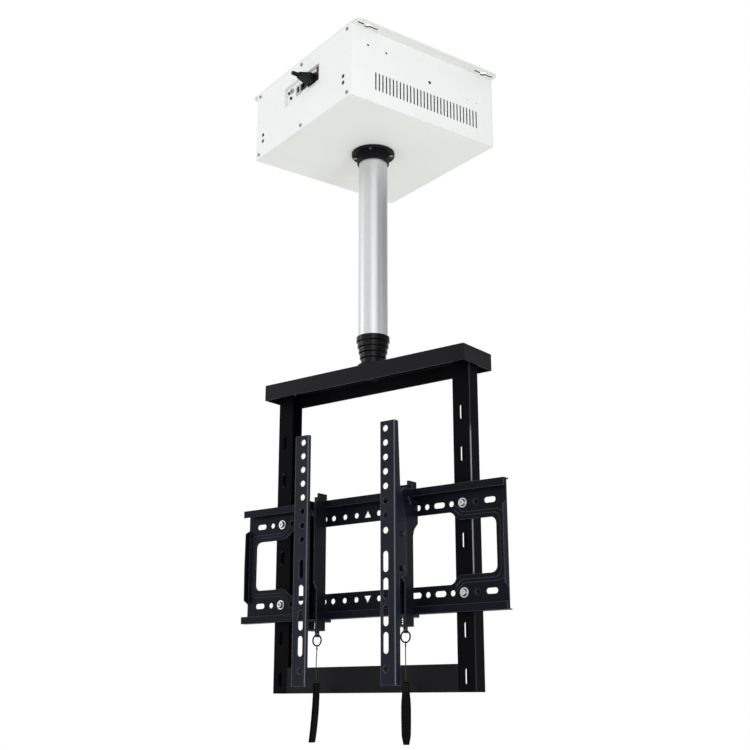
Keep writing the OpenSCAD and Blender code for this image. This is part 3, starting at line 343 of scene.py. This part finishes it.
def moulding(name, deep, pale, edge_wear_and_highlight_tone, rough, specular, pits_per_metre, strength):
    coat, tree, shader = finish(name, Specular_IOR_Level=specular)
    grain = put(tree, moulded_grain, Pits_per_Metre=pits_per_metre)
    edge_masks = put(tree, edge_wear_and_highlight, Radius=0.0005)
    tone = blend_colour(tree, grain["Scuff"], deep, pale)
    tone = blend_colour(tree, edge_masks["Edge"], tone, edge_wear_and_highlight_tone)
    sheen = add_node(tree, "MapRange", {0: grain["Scuff"], 3: rough[0], 4: rough[1]})
    wear(tree, shader, tone, sheen.outputs[0], grain["Height"], edge_masks["Normal"], strength, 0.0001)
    return coat


black_moulding = moulding("black_moulding", (0.005, 0.005, 0.0055, 1), (0.01, 0.01, 0.011, 1),
                          (0.06, 0.06, 0.062, 1), (0.38, 0.52), 0.16, 2600.0, 0.2)
red_moulding = moulding("rocker_red", (0.06, 0.003, 0.009, 1), (0.09, 0.006, 0.016, 1),
                        (0.14, 0.03, 0.04, 1), (0.22, 0.34), 0.3, 1200.0, 0.05)
dress(black_moulding, "inlet_module", "mains_plug", "data_socket", "down_button")
dress(red_moulding, "rocker", "up_button")

port_shell = clouded("port_shell", (0.36, 0.37, 0.39, 1), (0.5, 0.51, 0.53, 1), (0.72, 0.72, 0.73, 1),
                     (0.3, 0.42), 2400.0, 200.0, 0.08, Metallic=1.0)
dress(port_shell, "serial_port", "round_jack")


def from_panel(x, y, z):
    # a place in the box's own millimetres, square to the panel, as a place in the room
    turned_x = math.cos(box_turn) * x + math.sin(box_turn) * y
    turned_y = math.cos(box_turn) * y - math.sin(box_turn) * x
    return Vector((turned_x, turned_y, z)) / 1000


def shape(name, build, coat):
    mesh = bpy.data.meshes.new(name)
    build.to_mesh(mesh)
    build.free()
    shaped = bpy.data.objects.new(name, mesh)
    scene.collection.objects.link(shaped)
    mesh.materials.append(coat)
    return shaped


def piece(name, build, coat, body):
    made_piece = shape(name, build, coat)
    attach(made_piece, body)
    return made_piece


def panel_pin(build, x, z, radius, y_front, y_back, sides=12):
    # one round contact, standing out of its insulator, with a domed tip
    rings = []
    for y, r in ((y_back, radius), (y_front + radius, radius), (y_front + radius * 0.3, radius * 0.7),
                 (y_front, radius * 0.25)):
        rings.append([build.verts.new(from_panel(x + r * math.cos(2 * math.pi * k / sides), y,
                                                 z + r * math.sin(2 * math.pi * k / sides)))
                      for k in range(sides)])
    for low, high in zip(rings, rings[1:]):
        for k in range(sides):
            build.faces.new((low[k], low[(k + 1) % sides], high[(k + 1) % sides], high[k]))
    build.faces.new(rings[-1])
    build.faces.new(list(reversed(rings[0])))


def panel_block(build, low, high, ease):
    # a small moulded block with its front edges eased, drawn in panel millimetres
    (x0, y0, z0), (x1, y1, z1) = low, high
    loops = []
    for y, inset in ((y1, 0), (y0 + ease, 0), (y0, ease)):
        loops.append([build.verts.new(from_panel(x, y, z)) for x, z in
                      ((x0 + inset, z0 + inset), (x1 - inset, z0 + inset), (x1 - inset, z1 - inset),
                       (x0 + inset, z1 - inset))])
    for back, front in zip(loops, loops[1:]):
        for k in range(4):
            build.faces.new((back[k], back[(k + 1) % 4], front[(k + 1) % 4], front[k]))
    build.faces.new(loops[-1])
    build.faces.new(list(reversed(loops[0])))


panel_front, socket_row = -176.5, -58.0
serial_x, link_x, jack_x = -19.0, 12.5, -43.5
contact_tip, contact_root = panel_front + 2, panel_front + 8.9
serial_core = bmesh.new()
panel_block(serial_core, (serial_x - 3.4, panel_front + 3.5, socket_row - 5.9),
            (serial_x + 3.4, panel_front + 5.9, socket_row + 5.9), 0.3)
piece("serial_insulator", serial_core, black_moulding, "housing")
serial_pins = bmesh.new()
pin_pitch = 2.3
for row, count in ((serial_x - 1.4, 5), (serial_x + 1.4, 4)):
    for k in range(count):
        panel_pin(serial_pins, row, socket_row + pin_pitch * (k - (count - 1) / 2), 0.5, panel_front + 0.6,
                  panel_front + 3.6)
piece("serial_pins", serial_pins, port_shell, "housing")
data_contacts = bmesh.new()
contact_pitch, contact_half = 1.2, 0.25
for k in range(8):
    x = contact_pitch * (k - 3.5)
    panel_block(data_contacts, (x - contact_half, contact_tip, socket_row + 2.6),
                (x + contact_half, contact_root, socket_row + 3.2), 0.15)
piece("data_contacts", data_contacts, port_shell, "housing")
link_tongue = bmesh.new()
panel_block(link_tongue, (link_x - 0.6, contact_tip, socket_row - 3),
            (link_x + 0.6, contact_root, socket_row + 3), 0.2)
piece("link_tongue", link_tongue, black_moulding, "housing")
jack_pin = bmesh.new()
panel_pin(jack_pin, jack_x, socket_row + 8, 1.0, panel_front - 1, panel_front + 7.9, 16)
piece("jack_pin", jack_pin, port_shell, "housing")

# The drive inside the box: a circuit board behind the panel, a mains power supply in a galvanised case, and a
# winch whose drum hangs between two steel cheeks with a black gear motor on its shaft. It is seen only
# through the vent slots.

board_green = clouded("board_laminate", (0.008, 0.05, 0.022, 1), (0.02, 0.11, 0.05, 1), (0.2, 0.24, 0.14, 1),
                      (0.28, 0.45), 700.0, 260.0, 0.1, depth=0.0002, Specular_IOR_Level=0.5)
dress(board_green, "control_board")

galvanised, tree, shader = finish("galvanised_case", Metallic=1.0)
place = add_node(tree, "TexCoord").outputs["Object"]
spangle = add_node(tree, "TexVoronoi", {"Vector": place, "Scale": 130.0})
cloudy = put(tree, powder_grain)
edge_masks = put(tree, edge_wear_and_highlight)
tone = blend_colour(tree, spangle.outputs["Distance"], (0.36, 0.37, 0.38, 1), (0.6, 0.61, 0.62, 1))
tone = blend_colour(tree, edge_masks["Edge"], tone, (0.7, 0.7, 0.7, 1))
sheen = add_node(tree, "MapRange", {0: spangle.outputs["Distance"], 3: 0.32, 4: 0.5})
wear(tree, shader, tone, sheen.outputs[0], cloudy["Height"], edge_masks["Normal"], 0.08, 0.0002)
dress(galvanised, "power_supply", "winch_frame")
zinc = clouded("zinc_plate", (0.44, 0.45, 0.47, 1), (0.66, 0.67, 0.68, 1), (0.8, 0.8, 0.8, 1),
               (0.42, 0.26), 1800.0, 120.0, 0.1, Metallic=1.0, Specular_IOR_Level=0.5)
dress(zinc, "winch_drum")
# the black coat gets a faint painted highlight along its edges
black_coat = powder_coat("black_powder_coat", (0.0046, 0.0046, 0.006, 1), (0.0066, 0.0066, 0.0084, 1),
                         (0.03, 0.03, 0.034, 1), (0.42, 0.56), 0.1, 0.1, 0.0015)
dress(black_coat, "gear_motor")

# The lift strap: black nylon webbing, wound flat on the drum, that runs down the middle of the column to a
# slit in the swivel stud. Its run is built as four lengths of tape, one below the other.

woven_tape, given, made = shader_group("woven_tape", [("Ribs per Metre", 900.0), ("Ends per Metre", 1400.0)],
                                       [("Height", "Float"), ("Shade", "Float")])
tape_place = add_node(woven_tape, "SeparateXYZ", {0: add_node(woven_tape, "UVMap", uv_map="tape").outputs[0]})
across = add_node(woven_tape, "Math", {0: tape_place.outputs["X"], 1: given["Ends per Metre"]},
                  operation="MULTIPLY")
along = add_node(woven_tape, "Math", {0: tape_place.outputs["Y"], 1: given["Ribs per Metre"]},
                 operation="MULTIPLY")
across_turn = add_node(woven_tape, "Math", {0: across.outputs[0], 1: math.pi}, operation="MULTIPLY")
along_turn = add_node(woven_tape, "Math", {0: along.outputs[0], 1: math.pi}, operation="MULTIPLY")
across_wave = add_node(woven_tape, "Math", {0: across_turn.outputs[0]}, operation="SINE")
along_wave = add_node(woven_tape, "Math", {0: along_turn.outputs[0]}, operation="SINE")
crossing = add_node(woven_tape, "Math", {0: across_wave.outputs[0], 1: along_wave.outputs[0]},
                    operation="MULTIPLY")
over = add_node(woven_tape, "MapRange", {0: crossing.outputs[0], 1: -1.0, 2: 1.0})
fuzz = add_node(woven_tape, "TexNoise", {"Vector": add_node(woven_tape, "TexCoord").outputs["Object"],
                                         "Scale": 400.0, "Detail": 4.0})
shade = add_node(woven_tape, "Math", {0: over.outputs[0], 1: fuzz.outputs[0]}, operation="MULTIPLY")
woven_tape.links.new(over.outputs[0], made["Height"])
woven_tape.links.new(shade.outputs[0], made["Shade"])

webbing, tree, shader = finish("black_webbing", Specular_IOR_Level=0.04, Sheen_Weight=0.02,
                               Sheen_Roughness=0.4)
weave = put(tree, woven_tape)
tone = blend_colour(tree, weave["Shade"], (0.002, 0.002, 0.0022, 1), (0.009, 0.009, 0.0095, 1))
sheen = add_node(tree, "MapRange", {0: weave["Shade"], 3: 0.7, 4: 0.9})
tree.links.new(tone, shader.inputs["Base Color"])
tree.links.new(sheen.outputs[0], shader.inputs["Roughness"])
weave_bump = add_node(tree, "Bump", {"Height": weave["Height"], "Strength": 0.6, "Distance": 0.0003})
tree.links.new(weave_bump.outputs[0], shader.inputs["Normal"])


def side_ways(line, width_way):
    ways = []
    for i in range(len(line)):
        ahead = line[min(i + 1, len(line) - 1)] - line[max(i - 1, 0)]
        ways.append(ahead.cross(width_way).normalized())
    return ways


def tape(line, width_way, width, thick, shares=None):
    # a flat tape along a line of points, lens-shaped in section, with a run of real lengths for the weave;
    # shares say how much of its width the tape keeps at each point
    build = bmesh.new()
    run_map = build.loops.layers.uv.new("tape")
    section = [(-0.5, 0.25), (-0.42, 0.5), (-0.2, 0.5), (0, 0.5), (0.2, 0.5), (0.42, 0.5), (0.5, 0.25),
               (0.5, -0.25), (0.42, -0.5), (0.2, -0.5), (0, -0.5), (-0.2, -0.5), (-0.42, -0.5), (-0.5, -0.25)]
    rings, runs = [], [0.0]
    for here, following in zip(line, line[1:]):
        runs.append(runs[-1] + (following - here).length)
    for here, face_way, share in zip(line, side_ways(line, width_way), shares or [1.0] * len(line)):
        rings.append([build.verts.new(here + width_way * (width * share * u) + face_way * (thick * v))
                      for u, v in section])
    count = len(section)
    for i in range(len(rings) - 1):
        for k in range(count):
            j = (k + 1) % count
            face = build.faces.new((rings[i][k], rings[i][j], rings[i + 1][j], rings[i + 1][k]))
            face.smooth = True
            for loop, (where, run) in zip(face.loops, ((k, i), (j, i), (j, i + 1), (k, i + 1))):
                loop[run_map].uv = (section[where][0] * width, runs[run])
    build.faces.new(list(reversed(rings[0])))
    build.faces.new(rings[-1])
    return build


strap_across = from_panel(0, 1000, 0)
drum_x, drum_z, coil_out, strap_thick = 31.4, -48.0, 31.4, 1.2
lift_wide, lift_thick = 0.025, 0.00116
coil_steps = 31
coil_line = []
for k in range(200):
    angle = math.pi - 2 * math.pi * k / coil_steps
    radius = coil_out - strap_thick * k / coil_steps
    coil_line.append(from_panel(drum_x + radius * math.cos(angle), 0, drum_z + radius * math.sin(angle)))
coil = piece("lift_strap_coil", tape(coil_line, strap_across, lift_wide, lift_thick), webbing, "housing")
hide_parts("lift_strap")
strap_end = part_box("lift_strap")[0].z
run_start = drum_z / 1000
run_drop = (strap_end - run_start) / 4
for k in range(4):
    top_z = run_start + run_drop * k
    run_line = [Vector((0, 0, top_z + run_drop * i / 24)) for i in range(25)]
    run = shape("lift_strap_run_%d" % (k + 1), tape(run_line, strap_across, lift_wide, lift_thick), webbing)
    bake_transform(run)

# The column: a black flange and sleeve under the box carry the fixed tube, and four thinner tubes slide out
# of it. The tubes are drawn aluminium, satin anodised, with faint lines along their length, and each ends in
# a black collar. White nylon guides ride inside.

drawn_lines, given, made = shader_group("drawn_lines", [("Lines per Metre", 2200.0)],
                                        [("Height", "Float"), ("Streak", "Float")])
place = add_node(drawn_lines, "TexCoord").outputs["Object"]
pulled = add_node(drawn_lines, "Mapping", {"Vector": place, "Scale": (1.0, 1.0, 0.006)})
fine = add_node(drawn_lines, "TexNoise", {"Vector": pulled.outputs[0], "Scale": given["Lines per Metre"],
                                          "Detail": 3.0})
broad = add_node(drawn_lines, "TexNoise", {"Vector": pulled.outputs[0], "Scale": 160.0, "Detail": 4.0})
streak = add_node(drawn_lines, "MapRange", {0: broad.outputs[0], 1: 0.3, 2: 0.7})
drawn_lines.links.new(fine.outputs[0], made["Height"])
drawn_lines.links.new(streak.outputs[0], made["Streak"])

tube_metal, tree, shader = finish("satin_tube", Metallic=0.85, Specular_IOR_Level=0.4)
lines = put(tree, drawn_lines)
edge_masks = put(tree, edge_wear_and_highlight, Radius=0.0004)
tone = blend_colour(tree, lines["Streak"], (0.576, 0.585, 0.594, 1), (0.648, 0.657, 0.666, 1))
tone = blend_colour(tree, edge_masks["Edge"], tone, (0.82, 0.82, 0.82, 1))
sheen = add_node(tree, "MapRange", {0: lines["Streak"], 3: 0.34, 4: 0.44})
wear(tree, shader, tone, sheen.outputs[0], lines["Height"], edge_masks["Normal"], 0.06, 0.0001)
dress(tube_metal, "tube_1", "tube_2", "tube_3", "tube_4", "tube_5")
collar_black = moulding("collar_black", (0.002, 0.002, 0.0022, 1), (0.004, 0.004, 0.0044, 1),
                        (0.05, 0.05, 0.052, 1), (0.12, 0.18), 0.17, 1800.0, 0.04)
dress(collar_black, "collar_1", "collar_2", "collar_3", "collar_4", "collar_5")
dress(black_coat, "tube_flange")
nylon = moulding("guide_nylon", (0.66, 0.66, 0.61, 1), (0.76, 0.76, 0.71, 1), (0.85, 0.85, 0.82, 1),
                 (0.45, 0.6), 0.4, 1500.0, 0.06)
dress(nylon, "guide_2", "guide_3", "guide_4", "guide_5")

# The swivel: a turned and blackened steel stud in the foot of the thinnest tube, with a black hub on the beam
# and a large nut below it, so the whole frame can be turned to face the room.

# the blackened steel gets a faint painted highlight along its edges
blackened = powder_coat("blackened_steel", (0.0014, 0.0014, 0.0018, 1), (0.0022, 0.0022, 0.0028, 1),
                        (0.012, 0.012, 0.014, 1), (0.5, 0.62), 0.1, 0.02, 0.0015)
dress(blackened, "swivel_stud", "swivel_nut")
dress(black_coat, "swivel_hub")

# The frame: a folded tray as cross beam, two channel posts with long slots and an angle as lower crossbar.
# All are steel with a fine black powder coat, deeper and more matt on the posts, with a painted highlight
# along the edges, and on the posts a brighter painted highlight along part of their folds instead. The posts
# hang on plated bolts.

dress(black_coat, "cross_beam", "lower_crossbar")
post_coat = powder_coat("matt_black_coat", (0.0028, 0.0027, 0.0042, 1), (0.0045, 0.0043, 0.006, 1),
                        (0.24, 0.24, 0.25, 1), (0.5, 0.62), 0.1, 0.02, 0.0015, False, (-1.1, -0.8))
dress(post_coat, "left_post", "right_post")
dress(zinc, "frame_bolts")

# The wall plate and the screen arms: pressed steel sheet with a smooth blue-black coat, deeper on the plate
# and the hook brackets, with a painted highlight along its edges and bends. The plate has a wide stepped
# window, rows of holes, and shelves with lips for the hooks.

arm_coat = powder_coat("blue_black_coat", (0.0068, 0.0077, 0.0142, 1), (0.0102, 0.0116, 0.0204, 1),
                       (0.1, 0.102, 0.128, 1), (0.32, 0.45), 0.1, 0.09, 0.0018, True)
dress(arm_coat, "left_arm", "right_arm")
plate_coat = powder_coat("deep_blue_black_coat", (0.004, 0.0045, 0.0083, 1), (0.006, 0.0067, 0.012, 1),
                         (0.075, 0.077, 0.095, 1), (0.34, 0.46), 0.1, 0.055, 0.0018, True)
dress(plate_coat, "wall_plate", "left_bracket", "right_bracket")

# The tilt bolts: black-oxide steel bolts and nuts, one as the pivot and one in a slot that locks the tilt.
# The latches under the brackets have the same finish, with bare metal along their edges.

black_oxide = clouded("black_oxide", (0.012, 0.0125, 0.014, 1), (0.026, 0.0265, 0.029, 1),
                      (0.16, 0.16, 0.17, 1), (0.34, 0.5), 1600.0, 90.0, 0.1, edge=0.0004,
                      Metallic=0.7, Specular_IOR_Level=0.4)
dress(black_oxide, "left_tilt_bolts", "right_tilt_bolts", "left_latch", "right_latch")

# The latches under the plate: each has a spring wound from blackened wire, a black split ring in its eye, a
# thin braided cord tied to the ring, and a pull strap of black webbing that hangs below the frame.


def wire(line, radius_in, radius_along, sides, in_ways, along_way):
    # a wire of oval section along a line, closed at both ends
    build = bmesh.new()
    rings = []
    for here, in_way in zip(line, in_ways):
        rings.append([build.verts.new(here + in_way * (radius_in * math.cos(2 * math.pi * k / sides))
                                      + along_way * (radius_along * math.sin(2 * math.pi * k / sides)))
                      for k in range(sides)])
    for low, high in zip(rings, rings[1:]):
        for k in range(sides):
            face = build.faces.new((low[k], low[(k + 1) % sides], high[(k + 1) % sides], high[k]))
            face.smooth = True
    build.faces.new(list(reversed(rings[0])))
    build.faces.new(rings[-1])
    bmesh.ops.recalc_face_normals(build, faces=build.faces)
    return build


braid, tree, shader = finish("braided_cord", Specular_IOR_Level=0.2)
place = add_node(tree, "TexCoord").outputs["Object"]
lay = add_node(tree, "TexWave", {"Vector": place, "Scale": 260.0, "Distortion": 1.5, "Detail": 2.0},
               bands_direction="DIAGONAL")
tone = blend_colour(tree, lay.outputs["Fac"], (0.012, 0.012, 0.013, 1), (0.05, 0.05, 0.052, 1))
tree.links.new(tone, shader.inputs["Base Color"])
fibre = add_node(tree, "MapRange", {0: lay.outputs["Fac"], 3: 0.6, 4: 0.85})
tree.links.new(fibre.outputs[0], shader.inputs["Roughness"])
lay_bump = add_node(tree, "Bump", {"Height": lay.outputs["Fac"], "Strength": 0.5, "Distance": 0.0002})
tree.links.new(lay_bump.outputs[0], shader.inputs["Normal"])

thread, tree, shader = finish("stitch_thread", Specular_IOR_Level=0.3)
place = add_node(tree, "TexCoord").outputs["Object"]
ply = add_node(tree, "TexWave", {"Vector": place, "Scale": 900.0, "Distortion": 1.0},
               bands_direction="DIAGONAL")
tone = blend_colour(tree, ply.outputs["Fac"], (0.02, 0.02, 0.021, 1), (0.06, 0.06, 0.062, 1))
tree.links.new(tone, shader.inputs["Base Color"])
ply_bump = add_node(tree, "Bump", {"Height": ply.outputs["Fac"], "Strength": 0.4, "Distance": 0.0001})
tree.links.new(ply_bump.outputs[0], shader.inputs["Normal"])

latch_x, latch_y = 0.104, -0.039
spring_turns, spring_steps, spring_wire, pull = 3.5, 28, 0.0004, 0.009
ring_steps, ring_wire, ring_half_wide, ring_half_thick = 48, 0.0013, 0.00125, 0.00062
shift_from, shift_over = 40, 16
knot_steps, knot_r, knot_drop, knot_pitch, strand_r, hitch_r = 24, 0.0011, 0.0015, 0.0012, 0.00055, 0.0019
cord_top, cord_foot, cord_r = -1.1714, -1.2377, 0.0009
cord_points = [(0, 0, cord_top), (0, -0.0005, cord_top - 0.012), (0.0005, -0.001, cord_top - 0.028),
               (0.0005, -0.0005, cord_top - 0.044), (0, 0, cord_foot)]
strap_top, strap_len, web_thick, web_wide = -1.238, 0.107, 0.0014, 0.015
strap_steps, fold_steps = 30, 8
leg_len = strap_len - 0.0025
first_row, row_pitch, row_half = 0.004, 0.0035, 0.0055
upward = Vector((0, 0, 1))


def kept_width(t, gather, tuck):
    # the strap is gathered under the cord, flat from there on, and its corners are drawn in at the fold
    rise = min(t / 0.42, 1)
    return 1 - gather * (1 - rise * rise * (3 - 2 * rise)) - tuck * max(0, (t - 0.88) / 0.12)


def layer_out(t, bulge):
    # how far the middle of each layer of the strap stands from the strap's own middle
    return bulge * math.sin(math.pi * t) + web_thick + 0.0003 * t


def stitch_bead(build, at, spin, middle):
    # one stitch: a small oval bead, built ring by ring so that each run gives the same mesh
    half_x, half_y, half_z = 0.00024, 0.0006, 0.00032
    rings = []
    for i in range(7):
        down = math.pi * i / 6
        ring = []
        for k in range(8 if 0 < i < 6 else 1):
            turn = 2 * math.pi * k / 8
            out = Vector((half_x * math.sin(down) * math.cos(turn), half_y * math.sin(down) * math.sin(turn),
                          half_z * math.cos(down)))
            ring.append(build.verts.new(middle + spin @ (at + out)))
        rings.append(ring)
    for upper, lower in zip(rings, rings[1:]):
        for k in range(8):
            corners = (upper[k % len(upper)], lower[k % len(lower)], lower[(k + 1) % len(lower)],
                       upper[(k + 1) % len(upper)])
            build.faces.new(list(dict.fromkeys(corners)))


for side, sign, bulge, bend, twist, gather, tuck in (("left", -1, 0.0005, 0.009, 0, 0, 0),
                                                     ("right", 1, 0.0045, 0.0, -68, 0.3, 0.3)):
    body = side + "_catch"
    spin = Matrix.Rotation(math.radians(twist), 3, "Z")
    middle = Vector((sign * latch_x, latch_y, 0))
    lean = sign * bend

    # the spring is an open coil between the bracket's foot and the latch
    low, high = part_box(side + "_latch_spring")
    centre = (low + high) / 2
    spring_len = high.z - low.z
    coil_r = (high.x - low.x) / 2 - spring_wire
    last = int(spring_turns * spring_steps)
    spring_line, in_ways = [], []
    for k in range(last + 1):
        angle = 2 * math.pi * k / spring_steps
        height = low.z + spring_wire + (spring_len - 2 * spring_wire) * k / last
        in_ways.append(Vector((math.cos(angle), math.sin(angle), 0)))
        spring_line.append(Vector((centre.x, centre.y, height)) + in_ways[-1] * coil_r)
    spring = piece(side + "_spring_wire", wire(spring_line, spring_wire, spring_wire, 12, in_ways, upward),
                   blackened, side + "_hanger")
    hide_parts(side + "_latch_spring")
    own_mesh(spring)

    # the split ring is two turns of flat wire side by side
    low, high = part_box(side + "_pull_ring")
    ring_mid = (low + high) / 2
    ring_r = (high.x - low.x) / 2 - ring_wire
    ring_line, in_ways = [], []
    for k in range(2 * ring_steps + 1):
        angle = -math.pi / 3 + 2 * math.pi * k / ring_steps
        step_over = min(max((k - shift_from) / shift_over, 0), 1)
        in_ways.append(Vector((math.cos(angle), 0, math.sin(angle))))
        ring_line.append(ring_mid + in_ways[-1] * ring_r + Vector((0, ring_wire * (step_over - 0.5), 0)))
    ring = piece(side + "_split_ring",
                 wire(ring_line, ring_half_wide, ring_half_thick, 12, in_ways, Vector((0, 1, 0))),
                 blackened, body)
    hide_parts(side + "_pull_ring")

    # the cord's end goes three times round the cord as a knot, and once round the ring as a hitch
    knot_line, in_ways = [], []
    for k in range(3 * knot_steps + 1):
        angle = 2 * math.pi * k / knot_steps
        height = cord_top - knot_drop - knot_pitch * k / knot_steps
        in_ways.append(Vector((math.cos(angle), math.sin(angle), 0)))
        knot_line.append(middle + in_ways[-1] * knot_r + Vector((0, 0, height)))
    knot = piece(side + "_cord_knot", wire(knot_line, strand_r, strand_r, 10, in_ways, upward), braid, body)
    ring_foot = ring_mid - Vector((0, 0, ring_r))
    loop_line, in_ways = [], []
    for k in range(knot_steps + 1):
        angle = -math.pi / 2 + 2 * math.pi * k / knot_steps
        in_ways.append(Vector((0, math.cos(angle), math.sin(angle))))
        loop_line.append(ring_foot + in_ways[-1] * hitch_r)
    hitch = piece(side + "_cord_hitch", wire(loop_line, strand_r, strand_r, 10, in_ways, Vector((1, 0, 0))),
                  braid, body)

    # the strap is one tape, sewn together under the cord and folded at its foot
    legs = {1: [], -1: []}
    shares = []
    for k in range(strap_steps + 1):
        t = k / strap_steps
        shares.append(kept_width(t, gather, tuck))
        for way in legs:
            legs[way].append(Vector((lean * t * t + way * layer_out(t, bulge), 0, -leg_len * t)))
    fold_r = layer_out(1, bulge)
    fold = []
    for k in range(1, fold_steps):
        angle = math.pi * k / fold_steps
        fold.append(Vector((lean + fold_r * math.cos(angle), 0, -leg_len - fold_r * 0.9 * math.sin(angle))))
    shares = shares + [shares[-1]] * len(fold) + shares[::-1]
    route = legs[1] + fold + legs[-1][::-1]
    strap_line = [spin @ point + middle + Vector((0, 0, strap_top)) for point in route]
    strap = piece(side + "_webbing_loop",
                  tape(strap_line, spin @ Vector((0, 1, 0)), web_wide, web_thick, shares),
                  webbing, body)
    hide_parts(side + "_pull_strap")

    # four short rows of stitches on each face close the tape under the cord
    stitches = bmesh.new()
    for way in (-1, 1):
        for row in range(4):
            drop = first_row + row_pitch * row
            t = drop / strap_len
            x = lean * t * t + way * (layer_out(t, bulge) + web_thick / 2)
            reach = row_half * kept_width(t, gather, tuck)
            for k in range(6):
                at = Vector((x, reach * (2 * k / 5 - 1), strap_top - drop))
                stitch_bead(stitches, at, spin, middle)
    sewing = piece(side + "_stitching", stitches, thread, body)

    # the cord hangs from the knot to the strap
    curve = bpy.data.curves.new(side + "_cord", "CURVE")
    curve.dimensions = "3D"
    curve.bevel_depth = cord_r
    curve.bevel_resolution = 3
    spline = curve.splines.new("NURBS")
    spline.points.add(len(cord_points) - 1)
    for point, (x, y, z) in zip(spline.points, cord_points):
        point.co = (sign * (latch_x + x), latch_y + y, z, 1)
    spline.use_endpoint_u = True
    spline.order_u = 3
    spline.resolution_u = 8
    cord = bpy.data.objects.new(side + "_cord", curve)
    scene.collection.objects.link(cord)
    curve.materials.append(braid)
    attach(cord, body)
    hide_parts(side + "_pull_cord")
    for k in range(25):
        t = k / 24

bpy.context.view_layer.update()
